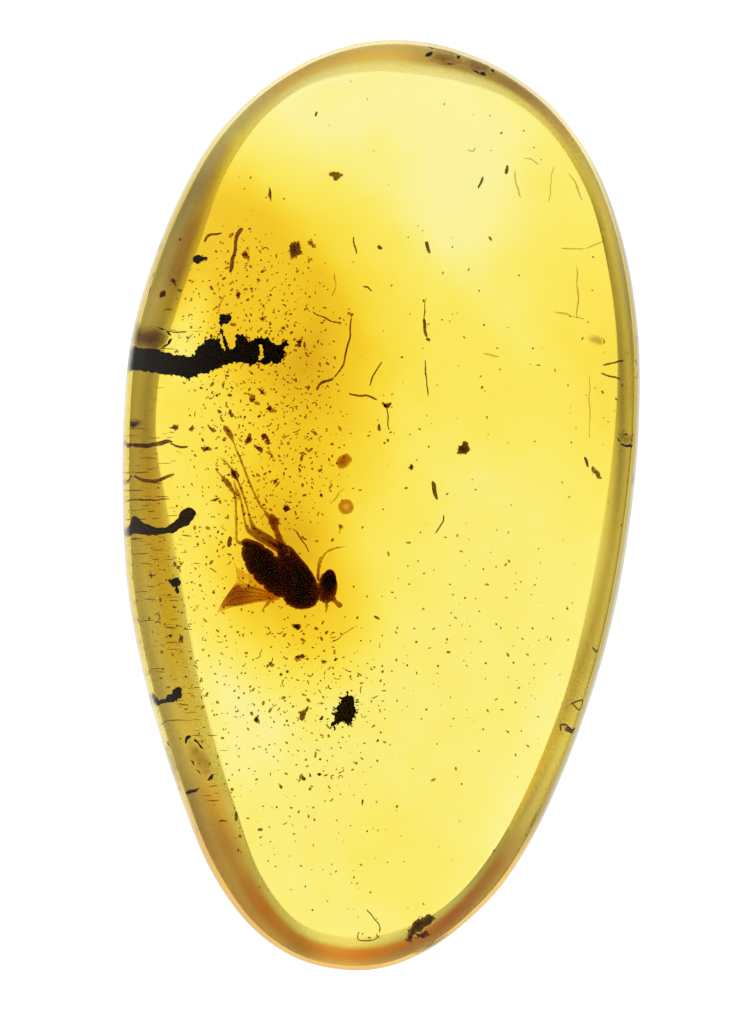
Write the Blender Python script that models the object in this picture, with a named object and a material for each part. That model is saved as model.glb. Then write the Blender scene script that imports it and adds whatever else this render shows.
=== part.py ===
"""A small fly sealed in a polished amber stone, with the plant scraps that lie in the resin round it.

The stone is parted flat at the level of the fly, and every inclusion has its own pocket in the two halves.
Units are metres, +Z is up, and the stone rests on its flat base with its long axis along Y.
"""
import math
import random

import bmesh
import bpy
from mathutils import Matrix, Vector

MM = 0.001

# The stone: an ellipse that a few slow waves pull into an egg, with a flat base inside a ground bevel.
HALF_WIDTH = 5.58 * MM
HALF_LENGTH = 10.0 * MM
THICKNESS = 4.2 * MM
OUTLINE_MEAN = 1.002
OUTLINE_WAVES = ((-0.010, 0.034), (-0.005, 0.041), (0.002, 0.035), (-0.009, 0.0), (-0.006, 0.004))
BASE_MEAN = 0.880
BASE_WAVES = ((0.027, 0.057), (-0.068, 0.028), (0.002, 0.057), (-0.004, -0.007), (-0.012, 0.0), (0.003, -0.007))
BEVEL_SLOPE = math.tan(math.radians(50))
BEVEL_BOW = 0.06
DOME_RISE = 0.55 * MM
DOME_POWER = 2.2
SHOULDER_WIDTH = 0.15 * MM
SHOULDER_SHARE = 0.15
SHOULDER_POWER = 2.9
SEGMENTS = 60
DOME_STEPS = (0.3, 0.55, 0.75, 0.9, 1.0)
SHOULDER_STEPS = (18, 36, 54, 72, 90)
BASE_STEPS = (1.0, 0.6, 0.3)

# The two halves part at the level of the inclusions.
PARTING_HEIGHT = 2.35 * MM
PARTING_GAP = 0.1 * MM
POCKET_CLEARANCE = 0.12 * MM

AMBER = (0.86, 0.56, 0.06, 1)
FLY_BROWN = (0.045, 0.018, 0.006, 1)
PLANT_BROWN = (0.05, 0.03, 0.012, 1)
SCRAP_BROWN = (0.09, 0.05, 0.015, 1)
BEAD_BROWN = (0.42, 0.20, 0.03, 1)


def clear_scene():
    for thing in list(bpy.data.objects):
        bpy.data.objects.remove(thing)


def new_collection(name, helper=False):
    collection = bpy.data.collections.new(name)
    bpy.context.scene.collection.children.link(collection)
    collection.hide_render = helper
    return collection


def new_material(name, colour, roughness, transmission=0.0):
    material = bpy.data.materials.new(name)
    material.use_nodes = True
    shader = material.node_tree.nodes["Principled BSDF"]
    shader.inputs["Base Color"].default_value = colour
    shader.inputs["Roughness"].default_value = roughness
    shader.inputs["Metallic"].default_value = 0.0
    shader.inputs["Transmission Weight"].default_value = transmission
    shader.inputs["IOR"].default_value = 1.54
    return material


def new_object(name, mesh_source, collection, material=None):
    """Make an object of a bmesh, shaded smooth, and free the bmesh."""
    mesh = bpy.data.meshes.new(name)
    mesh_source.to_mesh(mesh)
    mesh_source.free()
    for face in mesh.polygons:
        face.use_smooth = True
    thing = bpy.data.objects.new(name, mesh)
    collection.objects.link(thing)
    if material:
        mesh.materials.append(material)
    return thing


def as_cutter(thing):
    thing.hide_render = True
    thing.display_type = "WIRE"
    return thing


def add_boolean(target, operation, helpers):
    modifier = target.modifiers.new(helpers.name, "BOOLEAN")
    modifier.operation = operation
    modifier.solver = "EXACT"
    modifier.operand_type = "COLLECTION"
    modifier.collection = helpers


# ---------------------------------------------------------------- the stone

def wave_ratio(angle, mean, waves):
    """How far from the plain ellipse the edge stands at this angle, as a ratio."""
    ratio = mean
    for order, (cosine, sine) in enumerate(waves, start=1):
        ratio += cosine * math.cos(order * angle) + sine * math.sin(order * angle)
    return ratio


def stone_edges(angle):
    """The girdle and the base edge at this angle, as plan vectors from the middle of the stone."""
    ellipse = Vector((HALF_WIDTH * math.cos(angle), HALF_LENGTH * math.sin(angle), 0))
    girdle = ellipse * wave_ratio(angle, OUTLINE_MEAN, OUTLINE_WAVES)
    base = ellipse * wave_ratio(angle, BASE_MEAN, BASE_WAVES)
    return girdle, base


def stone_profile(angle):
    """Points from the top ring to the lowest ring of the stone at this angle, without its two poles."""
    girdle, base = stone_edges(angle)
    reach = girdle.length
    inset = reach - base.length
    outward = girdle / reach
    girdle_height = inset * BEVEL_SLOPE
    shoulder_width = SHOULDER_WIDTH + SHOULDER_SHARE * inset
    shoulder_reach = reach - shoulder_width
    shoulder_height = THICKNESS - DOME_RISE
    points = []
    for step in DOME_STEPS:
        height = THICKNESS - DOME_RISE * step ** DOME_POWER
        points.append(outward * shoulder_reach * step + Vector((0, 0, height)))
    for step in SHOULDER_STEPS:
        turn = math.radians(step)
        out = math.sin(turn) ** (2 / SHOULDER_POWER)
        up = max(math.cos(turn), 0.0) ** (2 / SHOULDER_POWER)
        height = girdle_height + (shoulder_height - girdle_height) * up
        points.append(outward * (shoulder_reach + shoulder_width * out) + Vector((0, 0, height)))
    middle = outward * (reach - inset * (0.5 - BEVEL_BOW))
    points.append(middle + Vector((0, 0, girdle_height * (0.5 - BEVEL_BOW))))
    for step in BASE_STEPS:
        points.append(base * step)
    return points


def make_stone():
    """A UV sphere whose rings are moved onto the stone's profile, with its poles at top and bottom."""
    rings = len(DOME_STEPS) + len(SHOULDER_STEPS) + 1 + len(BASE_STEPS)
    profiles = [stone_profile(math.tau * index / SEGMENTS) for index in range(SEGMENTS)]
    stone = bmesh.new()
    bmesh.ops.create_uvsphere(stone, u_segments=SEGMENTS, v_segments=rings + 1, radius=1.0)
    for vertex in stone.verts:
        ring = round(math.acos(max(-1.0, min(1.0, vertex.co.z))) / math.pi * (rings + 1)) - 1
        if ring < 0:
            vertex.co = (0, 0, THICKNESS)
        elif ring >= rings:
            vertex.co = (0, 0, 0)
        else:
            column = round(math.atan2(vertex.co.y, vertex.co.x) / math.tau * SEGMENTS) % SEGMENTS
            vertex.co = profiles[column][ring]
    bmesh.ops.recalc_face_normals(stone, faces=stone.faces)
    return stone


def make_half(name, lowest, highest, collection, material, pockets):
    """The stone between two heights, with every pocket cut from it."""
    half = make_stone()
    for height, direction in ((lowest, -1), (highest, 1)):
        if height is None:
            continue
        cut = bmesh.ops.bisect_plane(
            half, geom=half.verts[:] + half.edges[:] + half.faces[:], dist=0.00001 * MM,
            plane_co=(0, 0, height), plane_no=(0, 0, direction), clear_outer=True)
        edges = [item for item in cut["geom_cut"] if isinstance(item, bmesh.types.BMEdge)]
        bmesh.ops.contextual_create(half, geom=edges)
    bmesh.ops.recalc_face_normals(half, faces=half.faces)
    thing = new_object(name, half, collection, material)
    add_boolean(thing, "DIFFERENCE", pockets)
    return thing


# ---------------------------------------------------------------- soft organic forms

def limb(name, stations, collection, material=None, sides=10):
    """A closed form strung along stations (x, y, z, half width, half depth), all in millimetres.

    It is a UV sphere laid along the path: each ring takes one station and the poles close its two ends.
    """
    places = [Vector(station[:3]) * MM for station in stations]
    count = len(stations)
    form = bmesh.new()
    bmesh.ops.create_uvsphere(form, u_segments=sides, v_segments=count - 1, radius=1.0)
    for vertex in form.verts:
        ring = round(math.acos(max(-1.0, min(1.0, vertex.co.z))) / math.pi * (count - 1))
        if ring in (0, count - 1):
            vertex.co = places[ring]
            continue
        along = (places[ring + 1] - places[ring - 1]).normalized()
        across = along.cross(Vector((0, 0, 1))).normalized()
        over = across.cross(along)
        turn = math.atan2(vertex.co.y, vertex.co.x)
        width, depth = stations[ring][3] * MM, stations[ring][4] * MM
        vertex.co = places[ring] + across * width * math.cos(turn) + over * depth * math.sin(turn)
    bmesh.ops.recalc_face_normals(form, faces=form.faces)
    return new_object(name, form, collection, material)


def ellipsoid(name, centre, half_sizes, turn, collection, sides=20, rings=12):
    """A UV sphere scaled to three half sizes and turned about Z; sizes in millimetres, turn in degrees."""
    form = bmesh.new()
    place = Matrix.Translation(Vector(centre) * MM) @ Matrix.Rotation(math.radians(turn), 4, "Z")
    scale = Matrix.Diagonal(Vector(half_sizes).to_4d()) @ Matrix.Scale(MM, 4)
    scale[3][3] = 1.0
    bmesh.ops.create_uvsphere(form, u_segments=sides, v_segments=rings, radius=1.0, matrix=place @ scale)
    return new_object(name, form, collection)


# ---------------------------------------------------------------- the fly

LEVEL = PARTING_HEIGHT / MM

THORAX = dict(centre=(-1.78, -1.60, LEVEL), half_sizes=(0.40, 0.69, 0.37), turn=16)
HEAD = dict(centre=(-1.13, -1.77, LEVEL), half_sizes=(0.19, 0.34, 0.26), turn=-3)
EYES = (dict(centre=(-1.09, -1.70, LEVEL + 0.12), half_sizes=(0.16, 0.26, 0.2), turn=-3),
        dict(centre=(-1.09, -1.70, LEVEL - 0.12), half_sizes=(0.16, 0.26, 0.2), turn=-3))

# Stations are (x, y, height over the level, half width, half depth).
ABDOMEN = ((-2.86, -0.73, 0, 0, 0), (-2.84, -0.78, 0, 0.10, 0.10), (-2.77, -0.88, 0, 0.21, 0.19),
           (-2.68, -1.02, 0, 0.29, 0.26), (-2.59, -1.15, 0, 0.32, 0.29), (-2.49, -1.29, 0, 0.33, 0.30),
           (-2.38, -1.42, 0, 0.31, 0.29), (-2.25, -1.54, 0, 0.26, 0.25), (-2.05, -1.66, 0, 0.18, 0.18),
           (-1.85, -1.72, 0, 0, 0))
NECK = ((-1.55, -1.72, 0, 0, 0), (-1.45, -1.73, 0, 0.12, 0.12), (-1.25, -1.77, 0, 0.12, 0.12),
        (-1.1, -1.8, 0, 0, 0))
PROBOSCIS = ((-1.05, -2.0, 0, 0, 0), (-1.01, -2.03, 0, 0.06, 0.06), (-0.93, -2.09, 0, 0.055, 0.055),
             (-0.86, -2.14, 0, 0.07, 0.07), (-0.82, -2.17, 0, 0.06, 0.06), (-0.80, -2.19, 0, 0, 0))
ANTENNAE = (
    ((-1.18, -1.70, 0.08, 0, 0), (-1.30, -1.57, 0.1, 0.05, 0.05), (-1.29, -1.33, 0.12, 0.04, 0.04),
     (-1.24, -1.15, 0.13, 0.038, 0.038), (-1.13, -1.01, 0.14, 0.035, 0.035), (-0.96, -0.94, 0.15, 0.03, 0.03),
     (-0.84, -0.92, 0.15, 0.028, 0.028), (-0.72, -0.90, 0.15, 0, 0)),
    ((-1.18, -1.70, -0.1, 0, 0), (-1.31, -1.57, -0.12, 0.05, 0.05), (-1.34, -1.36, -0.15, 0.035, 0.035),
     (-1.31, -1.16, -0.18, 0.03, 0.03), (-1.27, -0.98, -0.2, 0.025, 0.025), (-1.25, -0.94, -0.2, 0, 0)))
LEGS = (
    # the foreleg nearest the viewer: stout thigh, swollen knee, long thin shin and a thicker foot
    ((-1.90, -1.25, 0.12, 0, 0), (-2.05, -0.88, 0.2, 0.08, 0.075), (-2.16, -0.66, 0.23, 0.07, 0.07),
     (-2.24, -0.53, 0.24, 0.065, 0.06), (-2.28, -0.42, 0.24, 0.12, 0.09), (-2.32, -0.33, 0.24, 0.10, 0.08),
     (-2.40, -0.25, 0.24, 0.045, 0.045), (-2.57, 0.01, 0.24, 0.034, 0.034), (-2.92, 0.83, 0.22, 0.03, 0.03),
     (-3.13, 1.38, 0.2, 0.03, 0.03), (-3.20, 1.50, 0.2, 0.05, 0.045), (-3.27, 1.60, 0.2, 0.045, 0.04),
     (-3.32, 1.67, 0.2, 0, 0)),
    # the middle leg
    ((-1.90, -1.2, 0.05, 0, 0), (-2.05, -0.90, 0.06, 0.09, 0.08), (-2.29, -0.74, 0.07, 0.075, 0.07),
     (-2.55, -0.58, 0.07, 0.07, 0.065), (-2.68, -0.52, 0.07, 0.06, 0.055), (-2.73, -0.42, 0.07, 0.04, 0.04),
     (-2.84, -0.12, 0.06, 0.035, 0.035), (-2.92, 0.12, 0.05, 0.032, 0.032), (-3.01, 0.44, 0.04, 0.03, 0.03),
     (-3.18, 0.70, 0.03, 0.028, 0.028), (-3.33, 0.89, 0.02, 0.026, 0.026), (-3.46, 1.05, 0.02, 0, 0)),
    # the far foreleg, folded beside the middle leg
    ((-1.90, -1.25, -0.10, 0, 0), (-2.08, -0.94, -0.13, 0.08, 0.07), (-2.35, -0.74, -0.14, 0.065, 0.06),
     (-2.62, -0.62, -0.14, 0.055, 0.05), (-2.70, -0.57, -0.14, 0.045, 0.045),
     (-2.85, -0.42, -0.14, 0.034, 0.034), (-2.98, 0.10, -0.14, 0.03, 0.03), (-3.02, 0.3, -0.14, 0, 0)),
    # the hind leg, from behind the tip of the abdomen
    ((-2.0, -1.35, -0.12, 0, 0), (-2.4, -1.05, -0.22, 0.07, 0.06), (-2.75, -0.85, -0.25, 0.055, 0.05),
     (-2.92, -0.82, -0.25, 0.045, 0.045), (-3.02, -0.77, -0.25, 0.04, 0.04),
     (-3.03, -0.12, -0.24, 0.034, 0.034), (-3.03, 0.23, -0.23, 0.034, 0.034),
     (-3.13, 0.37, -0.22, 0.04, 0.04), (-3.23, 0.48, -0.22, 0.055, 0.045), (-3.31, 0.57, -0.22, 0.04, 0.035),
     (-3.44, 0.70, -0.22, 0, 0)))
# Wings: outlines in plan, with the height of the sheet over the level.
WINGS = (
    (0.12, ((-1.85, -1.72), (-2.35, -1.72), (-2.62, -1.62), (-2.90, -1.48), (-3.09, -1.22), (-3.16, -1.45),
            (-3.26, -1.78), (-3.37, -2.10), (-3.10, -2.14), (-2.72, -2.12), (-2.35, -2.02), (-1.85, -1.95))),
    (-0.12, ((-1.80, -1.75), (-2.50, -1.95), (-2.95, -2.05), (-3.35, -2.10), (-3.46, -2.26), (-3.44, -2.38),
             (-3.10, -2.33), (-2.75, -2.29), (-2.50, -2.26), (-2.28, -2.14), (-1.80, -2.05))))
WING_THICKNESS = 0.03


def lifted(stations):
    """Stations whose heights are given over the fly's level."""
    return [(x, y, z + LEVEL, width, depth) for x, y, z, width, depth in stations]


def make_wing(name, height, outline, collection):
    """A thin flat sheet: a filled curve, extruded and made a mesh."""
    curve = bpy.data.curves.new(name, "CURVE")
    curve.dimensions = "2D"
    curve.fill_mode = "BOTH"
    curve.extrude = WING_THICKNESS / 2 * MM
    spline = curve.splines.new("POLY")
    spline.points.add(len(outline) - 1)
    for point, (x, y) in zip(spline.points, outline):
        point.co = (x * MM, y * MM, 0, 1)
    spline.use_cyclic_u = True
    flat = bpy.data.objects.new(name, curve)
    collection.objects.link(flat)
    flat.location.z = (LEVEL + height) * MM
    bpy.context.view_layer.update()
    mesh = bpy.data.meshes.new_from_object(flat.evaluated_get(bpy.context.evaluated_depsgraph_get()))
    mesh.transform(flat.matrix_world)
    sheet = bmesh.new()
    sheet.from_mesh(mesh)
    bmesh.ops.remove_doubles(sheet, verts=sheet.verts, dist=0.0001 * MM)
    bmesh.ops.recalc_face_normals(sheet, faces=sheet.faces)
    bpy.data.objects.remove(flat)
    bpy.data.meshes.remove(mesh)
    return new_object(name, sheet, collection)


def make_fly(collection, material):
    """The fly, one closed form: the thorax joined with everything that grows from it."""
    joined = new_collection("fly_joined", helper=True)
    fly = ellipsoid("fly", collection=collection, sides=24, rings=14, **THORAX)
    fly.data.materials.append(material)
    ellipsoid("fly_head", collection=joined, **HEAD)
    for index, eye in enumerate(EYES):
        ellipsoid(f"fly_eye_{index}", collection=joined, sides=16, rings=10, **eye)
    limb("fly_abdomen", lifted(ABDOMEN), joined, sides=20)
    limb("fly_neck", lifted(NECK), joined, sides=8)
    limb("fly_proboscis", lifted(PROBOSCIS), joined, sides=8)
    for index, antenna in enumerate(ANTENNAE):
        limb(f"fly_antenna_{index}", lifted(antenna), joined, sides=6)
    for index, leg in enumerate(LEGS):
        limb(f"fly_leg_{index}", lifted(leg), joined, sides=6)
    for index, (height, outline) in enumerate(WINGS):
        make_wing(f"fly_wing_{index}", height, outline, joined)
    for helper in joined.objects:
        as_cutter(helper)
    add_boolean(fly, "UNION", joined)
    return fly


# ---------------------------------------------------------------- plant remains and scraps

PLANT_FRAGMENT = (
    (-5.30, 3.08, 0, 0, 0), (-5.27, 3.08, 0, 0.21, 0.20), (-5.10, 3.09, 0, 0.24, 0.24),
    (-4.90, 3.08, 0, 0.26, 0.26), (-4.72, 3.07, 0, 0.26, 0.27), (-4.55, 3.02, 0, 0.25, 0.26),
    (-4.42, 2.99, 0, 0.24, 0.25), (-4.20, 2.95, 0, 0.22, 0.24), (-3.98, 2.96, 0, 0.21, 0.24),
    (-3.86, 3.08, 0.02, 0.32, 0.28), (-3.70, 3.18, 0.03, 0.37, 0.30), (-3.53, 3.20, 0.02, 0.32, 0.28),
    (-3.36, 3.14, 0, 0.22, 0.22), (-3.23, 3.12, 0, 0.18, 0.19), (-3.06, 3.28, 0.02, 0.29, 0.25),
    (-2.88, 3.29, 0.03, 0.27, 0.26), (-2.72, 3.29, 0.02, 0.26, 0.25), (-2.49, 3.26, 0, 0.27, 0.25),
    (-2.34, 3.19, 0, 0.20, 0.21), (-2.18, 3.27, 0, 0.13, 0.14), (-2.08, 3.33, 0, 0.08, 0.09),
    (-2.03, 3.36, 0, 0, 0))
CURLED_FRAGMENT = (
    (-5.36, -0.18, 0, 0, 0), (-5.36, -0.26, 0, 0.12, 0.12), (-5.29, -0.42, 0, 0.13, 0.13),
    (-5.14, -0.52, 0, 0.11, 0.12), (-4.95, -0.56, 0, 0.09, 0.10), (-4.72, -0.57, 0, 0.09, 0.10),
    (-4.50, -0.55, 0, 0.10, 0.10), (-4.32, -0.47, 0, 0.12, 0.11), (-4.20, -0.36, 0, 0.15, 0.14),
    (-4.05, -0.25, 0, 0.17, 0.16), (-3.92, -0.18, 0, 0.12, 0.12), (-3.87, -0.16, 0, 0, 0))
# Scraps: name, place in plan, half sizes, turn in degrees.
SCRAPS = (
    ("bark_chip_large", (-0.80, -4.38), (0.20, 0.38, 0.16), -22),
    ("leaf_scrap", (0.83, -8.98), (0.30, 0.24, 0.12), 42),
    ("bark_chip_square", (1.73, 1.19), (0.12, 0.12, 0.08), 12),
    ("bark_chip_wedge", (-4.41, -4.08), (0.20, 0.13, 0.10), 24),
    ("bark_chip_narrow", (-4.35, -1.70), (0.10, 0.15, 0.09), -14),
    ("half_round_chip", (-1.82, 5.42), (0.10, 0.18, 0.07), 0),
    ("thin_flake", (-0.95, 6.99), (0.16, 0.08, 0.05), -8),
    ("bark_chip_upper", (-3.83, 5.24), (0.13, 0.11, 0.08), 30),
    ("bark_chip_middle", (-3.29, 3.95), (0.13, 0.12, 0.09), -25),
    ("leaf_tip", (-1.64, -4.52), (0.08, 0.15, 0.05), -10),
    ("bark_chip_right", (4.33, 0.90), (0.09, 0.17, 0.07), 16),
    ("bark_chip_edge", (4.02, -4.82), (0.20, 0.13, 0.09), 28))
SCRAP_ROUGHNESS = 0.22
SCRAP_SEED = 41
BEADS = (
    ("resin_bead_upper", (-0.80, 0.91), (0.16, 0.15, 0.12)),
    ("resin_bead_lower", (-0.73, -0.05), (0.17, 0.17, 0.13)))


def make_scrap(name, place, half_sizes, turn, chance, collection, material):
    """An angular scrap: an icosphere whose corners are pushed in and out."""
    form = bmesh.new()
    bmesh.ops.create_icosphere(form, subdivisions=2, radius=1.0)
    for vertex in form.verts:
        vertex.co *= 1.0 - SCRAP_ROUGHNESS * chance.random()
    form.transform(Matrix.Diagonal(Vector(half_sizes).to_4d()))
    form.transform(Matrix.Scale(MM, 4))
    form.transform(Matrix.Rotation(math.radians(turn), 4, "Z"))
    form.transform(Matrix.Translation(Vector((*place, LEVEL)) * MM))
    return new_object(name, form, collection, material)


# ---------------------------------------------------------------- pockets

# Each pocket is (place in plan, half sizes, turn in degrees), without the clearance.
FLY_POCKETS = (
    ((-2.15, -1.62), (1.45, 0.95, 0.46), -14),
    ((-2.72, 0.05), (0.62, 1.85, 0.40), 20),
    ((-1.10, -1.25), (0.55, 0.50, 0.34), 0))
PLANT_POCKETS = (
    ((-4.55, 3.05), (0.78, 0.36, 0.33), 0),
    ((-3.75, 3.12), (0.75, 0.50, 0.40), 0),
    ((-2.70, 3.26), (0.82, 0.42, 0.36), 0))
CURL_POCKETS = (
    ((-4.92, -0.42), (0.55, 0.36, 0.24), 0),
    ((-4.28, -0.36), (0.58, 0.38, 0.26), 0))


def make_pockets():
    pockets = new_collection("pockets", helper=True)
    shapes = [(name, spot) for name, spots in
              (("fly_pocket", FLY_POCKETS), ("plant_pocket", PLANT_POCKETS), ("curl_pocket", CURL_POCKETS))
              for spot in spots]
    shapes += [(f"{name}_pocket", (place, half_sizes, turn)) for name, place, half_sizes, turn in SCRAPS]
    shapes += [(f"{name}_pocket", (place, half_sizes, 0)) for name, place, half_sizes in BEADS]
    clearance = POCKET_CLEARANCE / MM
    for index, (name, (place, half_sizes, turn)) in enumerate(shapes):
        sizes = [size + clearance for size in half_sizes]
        small = max(half_sizes) < 0.5
        cutter = ellipsoid(f"{name}_{index}", (*place, LEVEL), sizes, turn, pockets,
                           sides=8 if small else 16, rings=5 if small else 8)
        as_cutter(cutter)
    return pockets


def main():
    clear_scene()
    part = new_collection("insect_in_amber")
    amber = new_material("clear_amber", AMBER, 0.03, transmission=1.0)
    fly_skin = new_material("fly_cuticle", FLY_BROWN, 0.45)
    plant = new_material("plant_remains", PLANT_BROWN, 0.8)
    scrap = new_material("bark_scraps", SCRAP_BROWN, 0.8)
    bead = new_material("brown_resin", BEAD_BROWN, 0.3)

    pockets = make_pockets()
    lower_top = PARTING_HEIGHT - PARTING_GAP / 2
    upper_bottom = PARTING_HEIGHT + PARTING_GAP / 2
    make_half("amber_lower_half", None, lower_top, part, amber, pockets)
    make_half("amber_upper_half", upper_bottom, None, part, amber, pockets)
    make_fly(part, fly_skin)
    limb("plant_fragment", lifted(PLANT_FRAGMENT), part, plant, sides=14)
    limb("curled_fragment", lifted(CURLED_FRAGMENT), part, plant, sides=10)
    chance = random.Random(SCRAP_SEED)
    for name, place, half_sizes, turn in SCRAPS:
        make_scrap(name, place, half_sizes, turn, chance, part, scrap)
    for name, place, half_sizes in BEADS:
        thing = ellipsoid(name, (*place, LEVEL), half_sizes, 0, part, sides=12, rings=8)
        thing.data.materials.append(bead)


main()
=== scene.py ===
import math
import random

import bmesh
import bpy
from mathutils import Matrix, Vector, noise


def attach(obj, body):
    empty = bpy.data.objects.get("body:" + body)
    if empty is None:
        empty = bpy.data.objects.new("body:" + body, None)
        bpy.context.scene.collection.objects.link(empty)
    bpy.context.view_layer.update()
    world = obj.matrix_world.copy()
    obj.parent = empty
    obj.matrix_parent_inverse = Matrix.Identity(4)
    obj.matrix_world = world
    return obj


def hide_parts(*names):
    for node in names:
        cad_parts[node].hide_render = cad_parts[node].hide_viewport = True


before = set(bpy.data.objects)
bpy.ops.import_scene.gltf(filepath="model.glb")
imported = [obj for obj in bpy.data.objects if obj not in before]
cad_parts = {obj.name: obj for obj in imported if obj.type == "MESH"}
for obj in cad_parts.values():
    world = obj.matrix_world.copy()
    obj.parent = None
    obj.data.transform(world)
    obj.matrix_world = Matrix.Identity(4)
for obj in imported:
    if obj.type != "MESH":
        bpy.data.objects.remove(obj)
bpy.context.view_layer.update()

# ---------------------------------------------------------------- the amber stone
# One egg-shaped piece of clear fossil resin, ground flat underneath and polished all over. Below the girdle
# a bevel runs in to the flat base, and makes the dark rim when the stone is lit from below. All sizes in
# this file are in millimetres.
MM = 0.001
HALF_WIDTH = 5.58
HALF_LENGTH = 10.0
THICKNESS = 4.2
# How far the girdle and the base edge reach, as shares of an ellipse, every ten degrees from the right.
RIM_STATIONS = (
    (0.971, 0.822), (1.012, 0.870), (1.057, 0.930), (1.089, 0.979), (1.100, 1.019), (1.085, 1.021),
    (1.055, 0.995), (1.027, 0.956), (1.008, 0.930), (0.997, 0.924), (0.993, 0.929), (0.996, 0.937),
    (1.006, 0.932), (1.018, 0.909), (1.020, 0.870), (1.024, 0.856), (1.028, 0.859), (1.011, 0.837),
    (0.998, 0.781), (0.995, 0.745), (0.988, 0.744), (0.986, 0.762), (0.998, 0.788), (1.023, 0.833),
    (1.036, 0.903), (1.030, 0.942), (1.013, 0.935), (0.996, 0.918), (0.975, 0.899), (0.955, 0.874),
    (0.941, 0.841), (0.923, 0.809), (0.909, 0.788), (0.908, 0.781), (0.920, 0.780), (0.941, 0.791))
BEVEL_SLOPE = math.tan(math.radians(50))
BEVEL_BOW = 0.06
DOME_RISE = 0.55
DOME_POWER = 2.2
SHOULDER_WIDTH = 0.15
SHOULDER_SHARE = 0.15
SHOULDER_POWER = 2.9
EDGE_EASING = 0.03
STONE_SEGMENTS = 288
DOME_RINGS = 26
SHOULDER_RINGS = 24
BEVEL_RINGS = 14
BASE_RINGS = 10
AMBER_IOR = 1.54


def between(before, start, end, after, share):
    """A point on the smooth curve from start to end, which passes through all four."""
    return tuple(0.5 * (2 * b + (c - a) * share + (2 * a - 5 * b + 4 * c - d) * share ** 2
                        + (3 * b - a - 3 * c + d) * share ** 3)
                 for a, b, c, d in zip(before, start, end, after))


def rim_at(angle):
    """The girdle's and the base edge's share of the ellipse at this angle."""
    count = len(RIM_STATIONS)
    place = angle / math.tau * count
    first = math.floor(place)
    near = [RIM_STATIONS[(first + step) % count] for step in (-1, 0, 1, 2)]
    return between(*near, place - first)


def stone_column(angle):
    """The stone's section at this angle, from the top of the dome to the middle of the base."""
    ellipse = Vector((HALF_WIDTH * math.cos(angle), HALF_LENGTH * math.sin(angle), 0))
    girdle_share, base_share = rim_at(angle)
    girdle = ellipse * girdle_share
    reach = girdle.length
    inset = reach - ellipse.length * base_share
    outward = girdle / reach
    girdle_height = inset * BEVEL_SLOPE
    shoulder_width = SHOULDER_WIDTH + SHOULDER_SHARE * inset
    section = []
    for ring in range(1, DOME_RINGS + 1):
        out = (reach - shoulder_width) * ring / DOME_RINGS
        section.append((out, THICKNESS - DOME_RISE * (out / reach) ** DOME_POWER))
    for ring in range(1, SHOULDER_RINGS + 1):
        turn = math.pi / 2 * ring / SHOULDER_RINGS
        out = reach - shoulder_width * (1 - math.sin(turn) ** (2 / SHOULDER_POWER))
        up = max(math.cos(turn), 0.0) ** (2 / SHOULDER_POWER)
        dome = THICKNESS - DOME_RISE * (out / reach) ** DOME_POWER
        section.append((out, girdle_height + (dome - girdle_height) * up))
    for ring in range(1, BEVEL_RINGS + 1):
        down = ring / BEVEL_RINGS
        bow = BEVEL_BOW * 4 * down * (1 - down)
        section.append((reach - inset * (down - bow), girdle_height * (1 - down - bow)))
    flat_reach = reach - inset - EDGE_EASING
    for ring in range(BASE_RINGS):
        section.append((flat_reach * (1 - ring / BASE_RINGS), 0.0))
    return [outward * out + Vector((0, 0, height)) for out, height in section]


def add_skin(form, columns, top, bottom):
    """Add a closed skin from columns of points that run from one pole to the other."""
    upper, lower = form.verts.new(top), form.verts.new(bottom)
    strips = [[form.verts.new(point) for point in column] for column in columns]
    for here, beside in zip(strips, strips[1:] + strips[:1]):
        form.faces.new((upper, here[0], beside[0]))
        for index in range(len(here) - 1):
            form.faces.new((here[index], here[index + 1], beside[index + 1], beside[index]))
        form.faces.new((lower, beside[-1], here[-1]))


def settled(name, form, modifiers=()):
    """A plain mesh of the form, with its modifiers applied and its faces turned outwards."""
    mesh = bpy.data.meshes.new(name)
    form.to_mesh(mesh)
    form.free()
    if modifiers:
        model = bpy.data.objects.new(name, mesh)
        bpy.context.scene.collection.objects.link(model)
        for kind, values in modifiers:
            modifier = model.modifiers.new(kind, kind)
            for key, value in values.items():
                setattr(modifier, key, value)
        graph = bpy.context.evaluated_depsgraph_get()
        mesh = bpy.data.meshes.new_from_object(model.evaluated_get(graph))
        bpy.data.objects.remove(model)
    tidy = bmesh.new()
    tidy.from_mesh(mesh)
    bmesh.ops.recalc_face_normals(tidy, faces=tidy.faces)
    tidy.to_mesh(mesh)
    tidy.free()
    return mesh


def place(name, mesh, material, slot, replaced=(), smooth=True):
    """Make the finished mesh a piece of the object, with its finish and the solids it stands for."""
    mesh.transform(Matrix.Scale(MM, 4))
    for face in mesh.polygons:
        face.use_smooth = smooth
    mesh.materials.clear()
    mesh.materials.append(material)
    piece = bpy.data.objects.new(name, mesh)
    bpy.context.scene.collection.objects.link(piece)
    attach(piece, "root")
    if replaced:
        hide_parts(*replaced)
    return piece


def new_material(name):
    """A material with the place on the piece, in millimetres, as its first output."""
    material = bpy.data.materials.new(name)
    material.use_nodes = True
    tree = material.node_tree
    where = add(tree, "ShaderNodeTexCoord").outputs["Object"]
    in_mm = add(tree, "ShaderNodeVectorMath", ((where, 0),), operation="SCALE", Scale=1 / MM).outputs[0]
    return material, tree, tree.nodes["Principled BSDF"], in_mm


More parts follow.
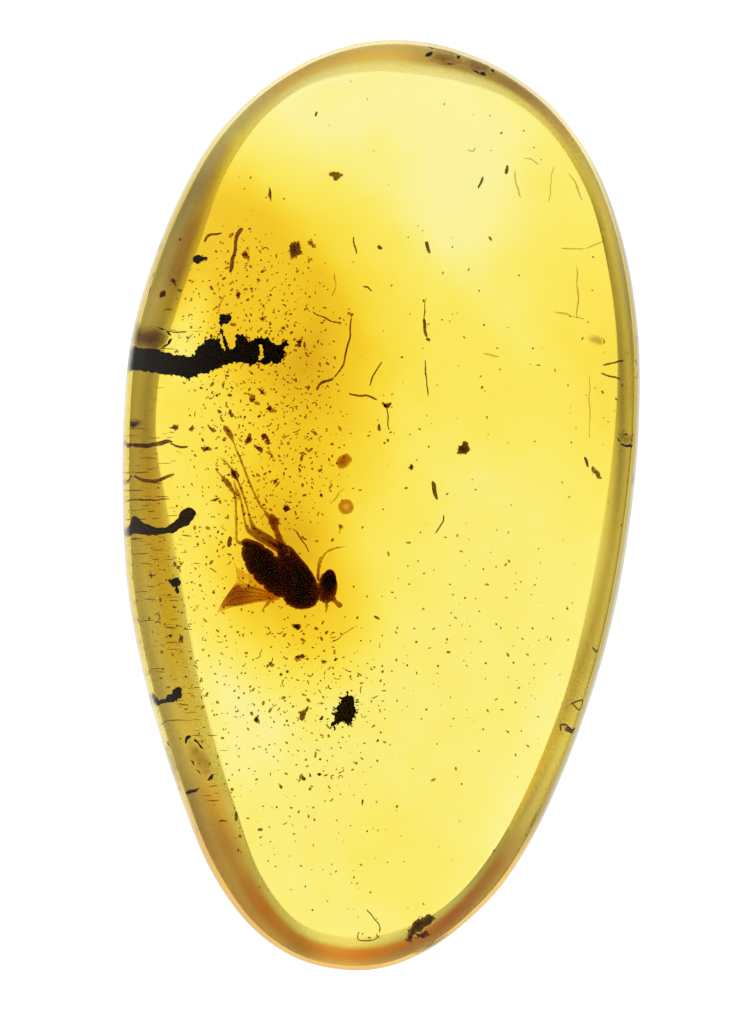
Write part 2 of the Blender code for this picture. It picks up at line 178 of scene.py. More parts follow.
def add(tree, kind, links=(), **values):
    """Add a node, set its properties and sockets by name, and link each (output, input) pair into it."""
    made = tree.nodes.new(kind)
    for key, value in values.items():
        if hasattr(made, key):
            setattr(made, key, value)
        else:
            made.inputs[key.replace("_", " ")].default_value = value
    for output, socket in links:
        tree.links.new(output, made.inputs[socket])
    return made


def new_group(name, inputs, outputs):
    """A shader node group with named sockets, and its two end nodes."""
    group = bpy.data.node_groups.new(name, "ShaderNodeTree")
    for in_out, sockets in (("INPUT", inputs), ("OUTPUT", outputs)):
        for label, kind in sockets:
            group.interface.new_socket(label, in_out=in_out, socket_type="NodeSocket" + kind)
    return group, group.nodes.new("NodeGroupInput").outputs, group.nodes.new("NodeGroupOutput").inputs


def use_group(tree, group, place_output, **values):
    used = add(tree, "ShaderNodeGroup", node_tree=group)
    tree.links.new(place_output, used.inputs["Place"])
    for key, value in values.items():
        used.inputs[key.replace("_", " ")].default_value = value
    return used.outputs


def patch_group():
    """A soft-edged ellipse in plan, full in the middle and faded out at its reach."""
    group, given, result = new_group(
        "soft_patch", (("Place", "Vector"), ("Centre", "Vector"), ("Turn", "Vector"), ("Reach", "Vector"),
                       ("Fade", "Float"), ("Depth", "Float")), (("Depth", "Float"),))
    local = add(group, "ShaderNodeMapping", ((given["Place"], "Vector"), (given["Centre"], "Location"),
                                             (given["Turn"], "Rotation"), (given["Reach"], "Scale")),
                vector_type="TEXTURE")
    near = add(group, "ShaderNodeTexGradient", ((local.outputs[0], "Vector"),), gradient_type="SPHERICAL")
    fade = add(group, "ShaderNodeMapRange", ((near.outputs["Fac"], "Value"), (given["Fade"], "From Max"),
                                             (given["Depth"], "To Max")), interpolation_type="SMOOTHSTEP")
    group.links.new(fade.outputs[0], result["Depth"])
    return group


def patch_depth(tree, place_output, centre, reach, turn, inner, depth):
    """The depth output of one soft patch: its inner share is at full depth."""
    return use_group(tree, SOFT_PATCH, place_output, Centre=(*centre, 0), Reach=(*reach, 1000),
                     Turn=(0, 0, math.radians(turn)), Fade=1 - inner, Depth=depth)["Depth"]


SOFT_PATCH = patch_group()
# Where the resin is deeper or paler in colour: centre, reach, turn in degrees, inner share, depth.
RESIN_DEPTH = 0.173
RESIN_PATCHES = (
    ((-2.9, 3.3), (4.3, 7.9), 24, 0.4, 0.26), ((-3.1, 4.8), (4.0, 2.3), -50, 0.5, 0.41),
    ((-1.6, 1.4), (2.3, 4.4), -20, 0.0, 0.40), ((-1.8, -1.8), (2.1, 2.9), 23, 0.2, 0.54),
    ((0.6, 4.0), (1.7, 4.8), 40, 0.5, 0.15), ((5.5, 2.4), (3.3, 6.2), 20, 0.0, 0.37),
    ((0.3, -7.5), (2.0, 1.3), -52, 0.4, 0.08), ((-2.7, -4.4), (1.2, 2.5), -3, 0.3, -0.13),
    ((-4.0, 3.7), (0.7, 1.5), -10, 0.1, -0.47), ((-4.3, -1.0), (1.0, 5.5), 35, 0.5, 0.14),
    ((3.0, -5.6), (0.7, 5.5), -23, 0.1, -0.08), ((1.7, 7.2), (2.1, 3.3), -6, 0.2, -0.19),
    ((-1.5, 8.8), (4.4, 2.2), 9, 0.3, -0.17))
# Depth to tint, from palest straw to brown.
RESIN_TINTS = (
    (0.00, (0.985, 0.930, 0.43)), (0.08, (0.980, 0.920, 0.318)), (0.15, (0.980, 0.897, 0.254)),
    (0.21, (0.980, 0.880, 0.207)), (0.29, (0.980, 0.855, 0.155)), (0.38, (0.980, 0.830, 0.123)),
    (0.48, (0.971, 0.781, 0.083)), (0.62, (0.954, 0.720, 0.048)), (0.77, (0.928, 0.633, 0.027)),
    (0.91, (0.870, 0.565, 0.019)), (1.20, (0.670, 0.335, 0.011)))
TINT_SPAN = 1.2
FLOW_SIZE = 0.45
FLOW_BEND = 0.5
WISP_DEPTH = 0.05
# Over the bevel the dome's skin is brown-stained in patches and carries painted shade that deepens the dark
# rim
# band: patches as above, and their tint. The rim share is 0 over the base edge and 1 at the girdle: the
# tint comes in from BAND_FROM to BAND_FULL and fades from BAND_FADE to BAND_TO.
RIM_STAIN_AND_SHADE_PATCHES = (
    (((-6.2, -1.4), (3.6, 7.5), 12, 0.45, 1.0), (0.88, 0.58, 0.003)),
    (((-4.4, 5.5), (1.9, 2.6), 32, 0.2, 1.0), (0.30, 0.17, 0.25)),
    (((-5.4, 3.6), (1.2, 1.1), 10, 0.3, 1.0), (0.5, 0.45, 0.5)),
    (((-4.1, -6.9), (1.5, 1.9), 0, 0.3, 1.0), (0.72, 0.36, 0.03)),
    (((-3.4, -8.6), (3.0, 1.7), -52, 0.3, 1.0), (0.74, 0.20, 0.004)),
    (((0.5, -9.5), (2.9, 1.6), 10, 0.3, 1.0), (1.0, 0.20, 0.01)),
    (((-0.9, -9.6), (1.3, 1.2), -10, 0.3, 1.0), (0.8, 0.6, 0.2)),
    (((2.0, 9.15), (1.9, 1.2), -28, 0.3, 1.0), (0.38, 0.22, 0.12)),
    (((-0.8, 9.4), (3.2, 1.5), 8, 0.3, 1.0), (1.0, 0.66, 0.3)),
    (((3.4, 8.4), (1.6, 1.2), -50, 0.3, 1.0), (0.75, 0.5, 0.6)),
    (((-3.9, 7.3), (1.0, 1.1), 30, 0.3, 1.0), (0.5, 0.45, 1.0)),
    (((-3.0, 8.3), (1.1, 0.9), 35, 0.2, 1.0), (0.6, 0.6, 1.0)),
    (((3.6, -6.6), (1.6, 1.3), 60, 0.2, 1.0), (0.6, 0.52, 0.9)),
    (((2.2, -8.3), (2.0, 1.5), 52, 0.3, 1.0), (0.72, 0.24, 0.08)),
    (((-2.1, -9.1), (1.9, 1.4), -35, 0.3, 1.0), (0.85, 0.30, 0.03)))
BAND_FROM, BAND_FULL = 0.10, 0.32
BAND_FADE, BAND_TO, BAND_LEFT = 0.45, 0.75, 0.38
# The edge itself is darkened along both sides by painted shade, more on the right.
EDGE_FROM, EDGE_FULL = 0.62, 0.80
EDGE_PAINTED_SHADE = (0.22, 0.18, 0.32)
SIDE_FULL, SIDE_TO = 6.5, 8.0
EDGE_TURN, EDGE_LEFT = 3.0, 0.35
# Round the lower end it is tinted browner; round the upper one a painted reflection mixes it toward pale
# straw.
BROWN_EDGE, BROWN_FROM, BROWN_FULL = (0.84, 0.55, 0.2), -5.5, -7.5
PAINTED_REFLECTION_TINT, PALE_FROM, PALE_FULL = (0.90, 0.86, 0.80), 2.5, 5.5
PALE_SHARE, PALE_DEEP = 0.3, 0.7
WALL_FROM, WALL_FULL, WALL_FOOT = 3.70, 3.58, 0.08
# The wall and the bevel are ground less finely than the dome and the base, and are roughest at the ends.
WALL_ROUGHNESS, END_ROUGHNESS = 0.2, 0.42
FROST_FROM, FROST_FULL = 6.0, 8.5
AMBER_ABSORPTION = (0.99, 0.96, 0.80)
AMBER_DENSITY = 0.3


def ramp(tree, output, low, high, from_value=0.0, to_value=1.0):
    """The output eased from one value to the other as it goes from low to high."""
    return add(tree, "ShaderNodeMapRange", ((output, "Value"),), interpolation_type="SMOOTHSTEP",
               From_Min=low, From_Max=high, To_Min=from_value, To_Max=to_value).outputs[0]


def times(tree, output, other):
    """The output multiplied by another one or by a number."""
    made = add(tree, "ShaderNodeMath", ((output, 0),), operation="MULTIPLY")
    if isinstance(other, (int, float)):
        made.inputs[1].default_value = other
    else:
        tree.links.new(other, made.inputs[1])
    return made.outputs[0]


def stained(tree, shade, share, tint, blend="MULTIPLY"):
    """The shade filtered by the tint, or mixed into it, where the share is one."""
    mixed = add(tree, "ShaderNodeMix", ((share, 0), (shade, 6)), data_type="RGBA", blend_type=blend)
    mixed.inputs[7].default_value = (*tint, 1)
    return mixed.outputs[2]


def fill(tree, colour, per_mm):
    """Make the inside of the piece absorb light down to the colour, so much in each millimetre."""
    inside = add(tree, "ShaderNodeVolumeAbsorption", Color=(*colour, 1), Density=per_mm / MM)
    tree.links.new(inside.outputs[0], tree.nodes["Material Output"].inputs["Volume"])


def amber_material():
    material, tree, shader, in_mm = new_material("clear_amber")
    flow = add(tree, "ShaderNodeTexNoise", ((in_mm, "Vector"),), Scale=FLOW_SIZE, Detail=2.0)
    middle = add(tree, "ShaderNodeVectorMath", ((flow.outputs["Color"], 0),), operation="SUBTRACT")
    middle.inputs[1].default_value = (0.5, 0.5, 0.5)
    bent = add(tree, "ShaderNodeVectorMath", ((middle.outputs[0], 0), (in_mm, 2)), operation="MULTIPLY_ADD")
    bent.inputs[1].default_value = (FLOW_BEND * 2, FLOW_BEND * 2, 0)
    bent = bent.outputs[0]
    wisps = add(tree, "ShaderNodeTexNoise", ((bent, "Vector"),), Scale=1.4, Detail=2.0)
    depth = add(tree, "ShaderNodeMapRange", ((wisps.outputs["Fac"], "Value"),), From_Min=0.3, From_Max=0.7,
                To_Min=RESIN_DEPTH - WISP_DEPTH, To_Max=RESIN_DEPTH + WISP_DEPTH).outputs[0]
    for patch in RESIN_PATCHES:
        depth = add(tree, "ShaderNodeMath", ((depth, 0), (patch_depth(tree, bent, *patch), 1)),
                    operation="ADD").outputs[0]
    tint = add(tree, "ShaderNodeValToRGB", ((times(tree, depth, 1 / TINT_SPAN), "Fac"),))
    stops = tint.color_ramp.elements
    while len(stops) < len(RESIN_TINTS):
        stops.new(0.5)
    for stop, (at, colour) in zip(stops, RESIN_TINTS):
        stop.position = at / TINT_SPAN
        stop.color = (*colour, 1)
    shade = tint.outputs["Color"]
    share = add(tree, "ShaderNodeAttribute", attribute_name="rim_share").outputs["Fac"]
    # Where the rim band's brown stains and painted shade lie on the dome's skin over the bevel.
    stain_and_shade_band = times(tree, ramp(tree, share, BAND_FROM, BAND_FULL),
                 ramp(tree, share, BAND_FADE, BAND_TO, 1.0, BAND_LEFT))
    axes = add(tree, "ShaderNodeSeparateXYZ", ((in_mm, 0),)).outputs
    # Painted reflection: the edge round the upper end is mixed toward pale straw.
    painted_reflection = times(tree, ramp(tree, share, PALE_SHARE, PALE_DEEP),
                     ramp(tree, axes["Y"], PALE_FROM, PALE_FULL))
    shade = stained(tree, shade, painted_reflection, PAINTED_REFLECTION_TINT, "MIX")
    # Brown stains, with painted shade that darkens the rim band.
    for patch, colour in RIM_STAIN_AND_SHADE_PATCHES:
        shade = stained(tree, shade, times(tree, patch_depth(tree, bent, *patch), stain_and_shade_band), colour)
    along = add(tree, "ShaderNodeMath", ((axes["Y"], 0),), operation="ABSOLUTE").outputs[0]
    skirt = ramp(tree, share, EDGE_FROM, EDGE_FULL)
    browned = times(tree, skirt, ramp(tree, axes["Y"], BROWN_FULL, BROWN_FROM, 1.0, 0.0))
    shade = stained(tree, shade, browned, BROWN_EDGE)
    # Painted shade: the outer edge is darkened along both sides, more on the right.
    edge = times(tree, skirt, ramp(tree, along, SIDE_FULL, SIDE_TO, 1.0, 0.0))
    edge = times(tree, edge, ramp(tree, axes["X"], -EDGE_TURN, EDGE_TURN, EDGE_LEFT, 1.0))
    shade = stained(tree, shade, edge, EDGE_PAINTED_SHADE)
    tree.links.new(shade, shader.inputs["Base Color"])
    wall = times(tree, ramp(tree, axes["Z"], WALL_FULL, WALL_FROM, 1.0, 0.0),
                 ramp(tree, axes["Z"], 0.0, WALL_FOOT))
    frost = ramp(tree, along, FROST_FROM, FROST_FULL, WALL_ROUGHNESS, END_ROUGHNESS)
    tree.links.new(times(tree, wall, frost), shader.inputs["Roughness"])
    shader.inputs["IOR"].default_value = AMBER_IOR
    shader.inputs["Transmission Weight"].default_value = 1.0
    fill(tree, AMBER_ABSORPTION, AMBER_DENSITY)
    return material


RIM_SHARE_LEVEL = 3.0


def rim_share(vertex):
    """On the upper face 0 over the base edge and 1 at the girdle; below the shoulder -1."""
    x, y, z = vertex.co
    if z < RIM_SHARE_LEVEL:
        return -1.0
    girdle_share, base_share = rim_at(math.atan2(y / HALF_LENGTH, x / HALF_WIDTH) % math.tau)
    return (math.hypot(x / HALF_WIDTH, y / HALF_LENGTH) - base_share) / (girdle_share - base_share)


stone_form = bmesh.new()
add_skin(stone_form, [stone_column(math.tau * index / STONE_SEGMENTS) for index in range(STONE_SEGMENTS)],
         (0, 0, THICKNESS), (0, 0, 0))
share_layer = stone_form.verts.layers.float.new("rim_share")
for vertex in stone_form.verts:
    vertex[share_layer] = rim_share(vertex)
place("amber_stone", settled("amber_stone", stone_form), amber_material(), "amber",
      ("amber_lower_half", "amber_upper_half"))

# ---------------------------------------------------------------- the fly
# A small two-winged fly, dried and clear at its thin edges, on its side in the middle of the stone. Thorax,
# abdomen, head, mouthparts, antennae and legs are closed forms grown into one another, in one piece.
LEVEL = 2.35
# Stations are (x, y, height over the level, half width, half depth).
ABDOMEN = (
    (-2.93, -0.80, 0, 0.000, 0.000), (-2.90, -0.80, 0, 0.065, 0.065), (-2.84, -0.82, 0, 0.117, 0.108),
    (-2.77, -0.90, 0, 0.208, 0.190), (-2.66, -1.05, 0, 0.285, 0.259), (-2.53, -1.22, 0, 0.333, 0.303),
    (-2.39, -1.37, 0, 0.346, 0.314), (-2.24, -1.51, 0, 0.342, 0.314), (-2.10, -1.65, 0, 0.324, 0.292),
    (-1.97, -1.78, 0, 0.259, 0.238), (-1.86, -1.87, 0, 0.130, 0.130), (-1.77, -1.91, 0, 0.000, 0.000))
THORAX = (
    (-2.09, -0.86, 0.02, 0.000, 0.000), (-2.06, -0.91, 0.02, 0.108, 0.108),
    (-2.01, -1.01, 0.03, 0.184, 0.173), (-1.94, -1.18, 0.03, 0.238, 0.238),
    (-1.85, -1.37, 0.02, 0.292, 0.303), (-1.77, -1.58, 0, 0.357, 0.368), (-1.71, -1.78, 0, 0.389, 0.378),
    (-1.67, -1.97, 0, 0.385, 0.335), (-1.66, -2.10, 0, 0.320, 0.250), (-1.66, -2.19, 0, 0.205, 0.150),
    (-1.66, -2.24, 0, 0.000, 0.000))
HEAD = (
    (-1.12, -1.42, 0, 0.000, 0.000), (-1.11, -1.45, 0, 0.097, 0.108), (-1.11, -1.52, 0, 0.151, 0.173),
    (-1.11, -1.65, 0, 0.195, 0.227), (-1.13, -1.81, 0, 0.205, 0.227), (-1.15, -1.94, 0, 0.185, 0.184),
    (-1.18, -2.05, 0, 0.125, 0.119), (-1.19, -2.11, 0, 0.000, 0.000))
NECK = (
    (-1.49, -1.80, 0, 0.000, 0.000), (-1.43, -1.81, 0, 0.150, 0.119), (-1.30, -1.83, 0, 0.135, 0.099),
    (-1.19, -1.83, 0, 0.000, 0.000))
PROBOSCIS = (
    (-1.06, -1.94, 0, 0.000, 0.000), (-1.02, -2.00, 0, 0.065, 0.065), (-0.96, -2.06, 0, 0.054, 0.054),
    (-0.91, -2.11, 0, 0.050, 0.050), (-0.87, -2.15, 0, 0.067, 0.061), (-0.84, -2.17, 0, 0.048, 0.048),
    (-0.82, -2.19, 0, 0.000, 0.000))
PALP = (
    (-1.17, -2.02, 0.05, 0.000, 0.000), (-1.15, -2.09, 0.05, 0.030, 0.030),
    (-1.13, -2.17, 0.05, 0.024, 0.024), (-1.15, -2.26, 0.05, 0.020, 0.020),
    (-1.17, -2.32, 0.05, 0.000, 0.000))
ANTENNA_NEAR = (
    (-1.28, -1.70, 0.08, 0.000, 0.000), (-1.31, -1.59, 0.1, 0.034, 0.034),
    (-1.31, -1.46, 0.12, 0.028, 0.028), (-1.29, -1.31, 0.13, 0.026, 0.026),
    (-1.25, -1.17, 0.14, 0.024, 0.024), (-1.18, -1.05, 0.15, 0.022, 0.022),
    (-1.07, -0.97, 0.15, 0.021, 0.021), (-0.91, -0.92, 0.15, 0.019, 0.019),
    (-0.72, -0.89, 0.15, 0.000, 0.000))
ANTENNA_FAR = (
    (-1.30, -1.65, -0.1, 0.000, 0.000), (-1.33, -1.57, -0.12, 0.030, 0.030),
    (-1.33, -1.42, -0.15, 0.021, 0.021), (-1.31, -1.26, -0.18, 0.019, 0.019),
    (-1.28, -1.15, -0.2, 0.015, 0.015), (-1.25, -1.10, -0.2, 0.000, 0.000))
LEG_NEAR_FORE = (
    (-1.90, -1.11, 0.12, 0.000, 0.000), (-2.01, -0.98, 0.18, 0.086, 0.078),
    (-2.10, -0.83, 0.22, 0.078, 0.074), (-2.16, -0.66, 0.23, 0.071, 0.067),
    (-2.22, -0.52, 0.24, 0.069, 0.065), (-2.24, -0.43, 0.24, 0.104, 0.086),
    (-2.26, -0.35, 0.24, 0.121, 0.099), (-2.31, -0.27, 0.24, 0.082, 0.074),
    (-2.39, -0.22, 0.24, 0.045, 0.041), (-2.46, -0.11, 0.24, 0.027, 0.025),
    (-2.56, 0.02, 0.24, 0.025, 0.023), (-2.75, 0.44, 0.23, 0.023, 0.022),
    (-2.91, 0.86, 0.22, 0.022, 0.020), (-3.03, 1.15, 0.21, 0.020, 0.019),
    (-3.11, 1.35, 0.2, 0.020, 0.019), (-3.14, 1.43, 0.2, 0.048, 0.043), (-3.20, 1.54, 0.2, 0.067, 0.058),
    (-3.27, 1.63, 0.2, 0.056, 0.048), (-3.31, 1.69, 0.2, 0.000, 0.000))
LEG_MIDDLE = (
    (-1.92, -1.05, 0.05, 0.000, 0.000), (-2.05, -0.94, 0.06, 0.091, 0.082),
    (-2.18, -0.85, 0.07, 0.082, 0.074), (-2.36, -0.72, 0.07, 0.076, 0.069),
    (-2.53, -0.61, 0.07, 0.069, 0.065), (-2.65, -0.53, 0.07, 0.063, 0.056),
    (-2.70, -0.45, 0.07, 0.048, 0.043), (-2.76, -0.25, 0.06, 0.027, 0.025),
    (-2.83, 0.01, 0.05, 0.025, 0.023), (-2.90, 0.23, 0.05, 0.027, 0.025),
    (-2.97, 0.43, 0.04, 0.025, 0.023), (-3.06, 0.59, 0.04, 0.022, 0.020),
    (-3.17, 0.79, 0.03, 0.020, 0.019), (-3.31, 0.95, 0.02, 0.019, 0.017),
    (-3.46, 1.04, 0.02, 0.000, 0.000))
LEG_FAR_FORE = (
    (-1.92, -1.11, -0.1, 0.000, 0.000), (-2.08, -1.01, -0.13, 0.082, 0.074),
    (-2.23, -0.90, -0.14, 0.074, 0.067), (-2.44, -0.79, -0.14, 0.065, 0.061),
    (-2.64, -0.67, -0.14, 0.056, 0.052), (-2.75, -0.58, -0.14, 0.052, 0.048),
    (-2.80, -0.52, -0.14, 0.043, 0.041), (-2.85, -0.38, -0.14, 0.025, 0.023),
    (-2.90, -0.10, -0.14, 0.023, 0.022), (-2.95, 0.13, -0.14, 0.025, 0.023),
    (-3.00, 0.23, -0.14, 0.052, 0.043), (-3.04, 0.34, -0.14, 0.027, 0.025),
    (-3.07, 0.44, -0.14, 0.019, 0.017), (-3.09, 0.53, -0.14, 0.000, 0.000))
LEG_HIND = (
    (-2.29, -1.20, -0.12, 0.000, 0.000), (-2.57, -0.98, -0.2, 0.069, 0.063),
    (-2.79, -0.86, -0.24, 0.056, 0.050), (-2.92, -0.82, -0.25, 0.048, 0.043),
    (-3.01, -0.79, -0.25, 0.030, 0.029), (-3.03, -0.68, -0.25, 0.025, 0.023),
    (-3.03, -0.38, -0.24, 0.025, 0.023), (-3.04, -0.08, -0.24, 0.025, 0.023),
    (-3.05, 0.16, -0.23, 0.027, 0.025), (-3.10, 0.27, -0.22, 0.041, 0.037),
    (-3.16, 0.37, -0.22, 0.056, 0.050), (-3.22, 0.46, -0.22, 0.067, 0.058),
    (-3.29, 0.54, -0.22, 0.050, 0.043), (-3.36, 0.63, -0.22, 0.023, 0.022),
    (-3.45, 0.71, -0.22, 0.000, 0.000))
WING_STALK = (
    (-2.25, -1.98, -0.05, 0.000, 0.000), (-2.36, -2.09, -0.05, 0.039, 0.026),
    (-2.43, -2.17, -0.05, 0.028, 0.022), (-2.52, -2.29, -0.05, 0.000, 0.000))
# Each part: stations, sides, joints along it, how deep the joints are pinched.
FLY_PARTS = (
    (ABDOMEN, 40, 8, 0.10), (THORAX, 40, 3, 0.03), (HEAD, 32, 1, 0.0), (NECK, 16, 1, 0.0),
    (PROBOSCIS, 12, 3, 0.15), (PALP, 8, 3, 0.2), (ANTENNA_NEAR, 8, 12, 0.3), (ANTENNA_FAR, 8, 8, 0.3),
    (LEG_NEAR_FORE, 10, 11, 0.12), (LEG_MIDDLE, 10, 11, 0.12), (LEG_FAR_FORE, 10, 9, 0.12),
    (LEG_HIND, 10, 10, 0.12), (WING_STALK, 8, 2, 0.1))
FINENESS = 6
CUTICLE_BUMPS = 0.012


def strung(form, stations, sides=10, joints=1, pinch=0.0, fineness=FINENESS, level=LEVEL):
    """Add a closed round form strung along stations, pinched at each of its joints."""
    ends = (stations[0],) + tuple(stations) + (stations[-1],)
    fine = [between(*ends[index:index + 4], step / fineness)
            for index in range(len(stations) - 1) for step in range(fineness)][1:]
    columns = [[] for _ in range(sides)]
    tip, tail = Vector(stations[0][:3]), Vector(stations[-1][:3])
    for index, (x, y, z, width, depth) in enumerate(fine):
        here = Vector((x, y, z))
        back = Vector(fine[index - 1][:3]) if index else tip
        ahead = Vector(fine[index + 1][:3]) if index + 1 < len(fine) else tail
        along = (ahead - back).normalized()
        across = along.cross(Vector((0, 0, 1))).normalized()
        over = across.cross(along)
        beat = (index + 1) / (len(fine) + 1) * joints % 1.0
        waist = 1 - pinch * math.exp(-(min(beat, 1 - beat) / 0.12) ** 2)
        for side, column in enumerate(columns):
            turn = math.tau * side / sides
            column.append(here + across * max(width, 0.004) * waist * math.cos(turn)
                          + over * max(depth, 0.004) * waist * math.sin(turn) + Vector((0, 0, level)))
    lift = Vector((0, 0, level))
    add_skin(form, columns, tip + lift, tail + lift)


def roughened(mesh, size, amount, seed=0.0):
    """Push the surface in and out by a fine noise, along its normals."""
    shift = Vector((seed, seed * 0.7, -seed))
    normals = [vertex.normal.copy() for vertex in mesh.vertices]
    for vertex, normal in zip(mesh.vertices, normals):
        vertex.co += normal * amount * noise.noise(vertex.co / size + shift)
    return mesh


def mottle_group():
    """Uneven natural colour: cloudy patches with finer flecks, and a height that follows them."""
    group, given, result = new_group(
        "mottle", (("Place", "Vector"), ("Size", "Float"), ("Dark", "Color"), ("Light", "Color")),
        (("Color", "Color"), ("Height", "Float")))
    scale = add(group, "ShaderNodeMath", ((given["Size"], 1),), operation="DIVIDE")
    scale.inputs[0].default_value = 1.0
    clouds = add(group, "ShaderNodeTexNoise", ((given["Place"], "Vector"), (scale.outputs[0], "Scale")),
                 Detail=5.0, Roughness=0.65)
    spread = add(group, "ShaderNodeMapRange", ((clouds.outputs["Fac"], "Value"),),
                 From_Min=0.32, From_Max=0.68)
    mixed = add(group, "ShaderNodeMix", ((spread.outputs[0], 0), (given["Dark"], 6), (given["Light"], 7)),
                data_type="RGBA")
    group.links.new(mixed.outputs[2], result["Color"])
    group.links.new(clouds.outputs["Fac"], result["Height"])
    return group


MOTTLE = mottle_group()
SEALED_IOR = 1.0


def sealed_material(name, size, dark, light, clear, roughness=0.0, bump=0.0, absorption=None):
    """A finish for what lies in the resin: no gloss of its own, since the resin wets it all round."""
    material, tree, shader, in_mm = new_material(name)
    mottle = use_group(tree, MOTTLE, in_mm, Size=size, Dark=(*dark, 1), Light=(*light, 1))
    tree.links.new(mottle["Color"], shader.inputs["Base Color"])
    shader.inputs["Roughness"].default_value = roughness
    shader.inputs["IOR"].default_value = SEALED_IOR
    shader.inputs["Transmission Weight"].default_value = clear
    if bump:
        relief = add(tree, "ShaderNodeBump", ((mottle["Height"], "Height"),),
                     Strength=0.8, Distance=bump * MM)
        tree.links.new(relief.outputs[0], shader.inputs["Normal"])
    if absorption:
        fill(tree, *absorption)
    return material


CUTICLE = sealed_material("fly_cuticle", 0.12, (0.5, 0.34, 0.16), (0.9, 0.74, 0.4), 0.98,
                          absorption=((0.55, 0.28, 0.02), 18))
fly_form = bmesh.new()
for stations, sides, joints, pinch in FLY_PARTS:
    strung(fly_form, stations, sides, joints, pinch)
fly_mesh = roughened(settled("fly_body", fly_form), 0.09, CUTICLE_BUMPS)
place("fly_body", fly_mesh, CUTICLE, "fly_cuticle", ("fly",))

# The two compound eyes: domes of flat facets that cover most of the head, a shade redder than the cuticle.
EYE_PLACES = ((-1.085, -1.60, 0.10), (-1.085, -1.62, -0.10))
EYE_HALF_SIZES = (0.145, 0.225, 0.16)
EYE_TURN = -4


def lump_matrix(x, y, half_x, half_y, half_z, turn, level=LEVEL):
    """Takes a ball of radius one to a lump with this place, these half sizes and this turn in plan."""
    return (Matrix.Translation((x, y, level)) @ Matrix.Rotation(math.radians(turn), 4, "Z")
            @ Matrix.Diagonal((half_x, half_y, half_z, 1)))


eye_form = bmesh.new()
for x, y, height in EYE_PLACES:
    shape = lump_matrix(x, y, *EYE_HALF_SIZES, EYE_TURN, LEVEL + height)
    bmesh.ops.create_icosphere(eye_form, subdivisions=4, radius=1.0, matrix=shape)
EYE_RED = sealed_material("fly_eye", 0.03, (0.35, 0.10, 0.03), (0.65, 0.25, 0.08), 0.97,
                          absorption=((0.5, 0.08, 0.02), 10))
place("fly_eyes", settled("fly_eyes", eye_form), EYE_RED, "fly_cuticle", smooth=False)

# The wings, folded back under the abdomen: two clear brown membranes, creased and torn at the tip, with
# veins that stand a little proud of them.
WINGS = (
    (0.10, ((-2.12, -1.89), (-2.27, -1.83), (-2.44, -1.76), (-2.57, -1.63), (-2.72, -1.50), (-2.85, -1.45),
          (-3.03, -1.33), (-3.10, -1.20), (-3.06, -1.33), (-2.99, -1.49), (-3.02, -1.63), (-3.17, -1.83),
          (-3.29, -2.00), (-3.38, -2.17), (-3.11, -2.17), (-2.83, -2.12), (-2.57, -2.06), (-2.36, -2.03),
          (-2.14, -2.02))),
    (-0.08, ((-2.10, -1.85), (-2.31, -1.84), (-2.57, -1.76), (-2.83, -1.70), (-2.98, -1.66), (-3.14, -1.81),
          (-3.28, -1.99), (-3.38, -2.17), (-3.44, -2.30), (-3.35, -2.28), (-3.11, -2.18), (-2.83, -2.13),
          (-2.57, -2.08), (-2.44, -2.07), (-2.29, -2.08), (-2.12, -2.02))))
WING_VEINS = (
    (0.10, ((-2.15, -1.95), (-2.60, -1.80), (-2.95, -1.62), (-3.05, -1.36))),
    (0.10, ((-2.15, -1.97), (-2.60, -1.88), (-3.00, -1.85), (-3.26, -1.98))),
    (0.10, ((-2.15, -2.0), (-2.60, -2.02), (-3.0, -2.11), (-3.34, -2.15))),
    (-0.08, ((-2.2, -1.90), (-2.60, -1.80), (-2.97, -1.68))),
    (-0.08, ((-2.2, -1.98), (-2.65, -1.95), (-3.05, -2.0), (-3.38, -2.22))))
# Where the membrane is darker or paler: patches as in the stone's skin.
WING_PATCHES = (
    (((-3.02, -1.93), (0.52, 0.42), 20, 0.2, 0.9), (0.52, 0.28, 0.05)),
    (((-2.42, -2.0), (0.34, 0.24), 0, 0.2, 0.5), (0.62, 0.36, 0.08)),
    (((-2.87, -1.66), (0.26, 0.15), -20, 0.2, 0.8), (0.95, 0.86, 0.5)))
WING_HALF_THICKNESS = 0.006
VEIN_HALF_WIDTH = 0.011
WING_WAVE = 0.03


def wing_lift(x, y):
    """How far the waves of the membrane lift it here."""
    return WING_WAVE * noise.noise(Vector((x, y, 0)) * 2.2)


def add_sheet(form, outline, level, half_thickness):
    """Add a thin closed sheet with this outline, gently waved."""
    sheet = bmesh.new()
    loop = [sheet.verts.new((x, y, 0)) for x, y in outline]
    sheet.faces.new(loop)
    bmesh.ops.triangulate(sheet, faces=sheet.faces)
    bmesh.ops.subdivide_edges(sheet, edges=sheet.edges, cuts=5, use_grid_fill=True)
    bmesh.ops.triangulate(sheet, faces=sheet.faces)
    sheet.verts.index_update()
    places = [vertex.co.copy() for vertex in sheet.verts]
    upper, lower = ([form.verts.new((x, y, level + wing_lift(x, y) + up)) for x, y, _ in places]
                    for up in (half_thickness, -half_thickness))
    for face in sheet.faces:
        corners = [vertex.index for vertex in face.verts]
        form.faces.new([upper[corner] for corner in corners])
        form.faces.new([lower[corner] for corner in reversed(corners)])
    for edge in sheet.edges:
        if edge.is_boundary:
            start, end = (vertex.index for vertex in edge.verts)
            form.faces.new((upper[start], upper[end], lower[end], lower[start]))
    sheet.free()


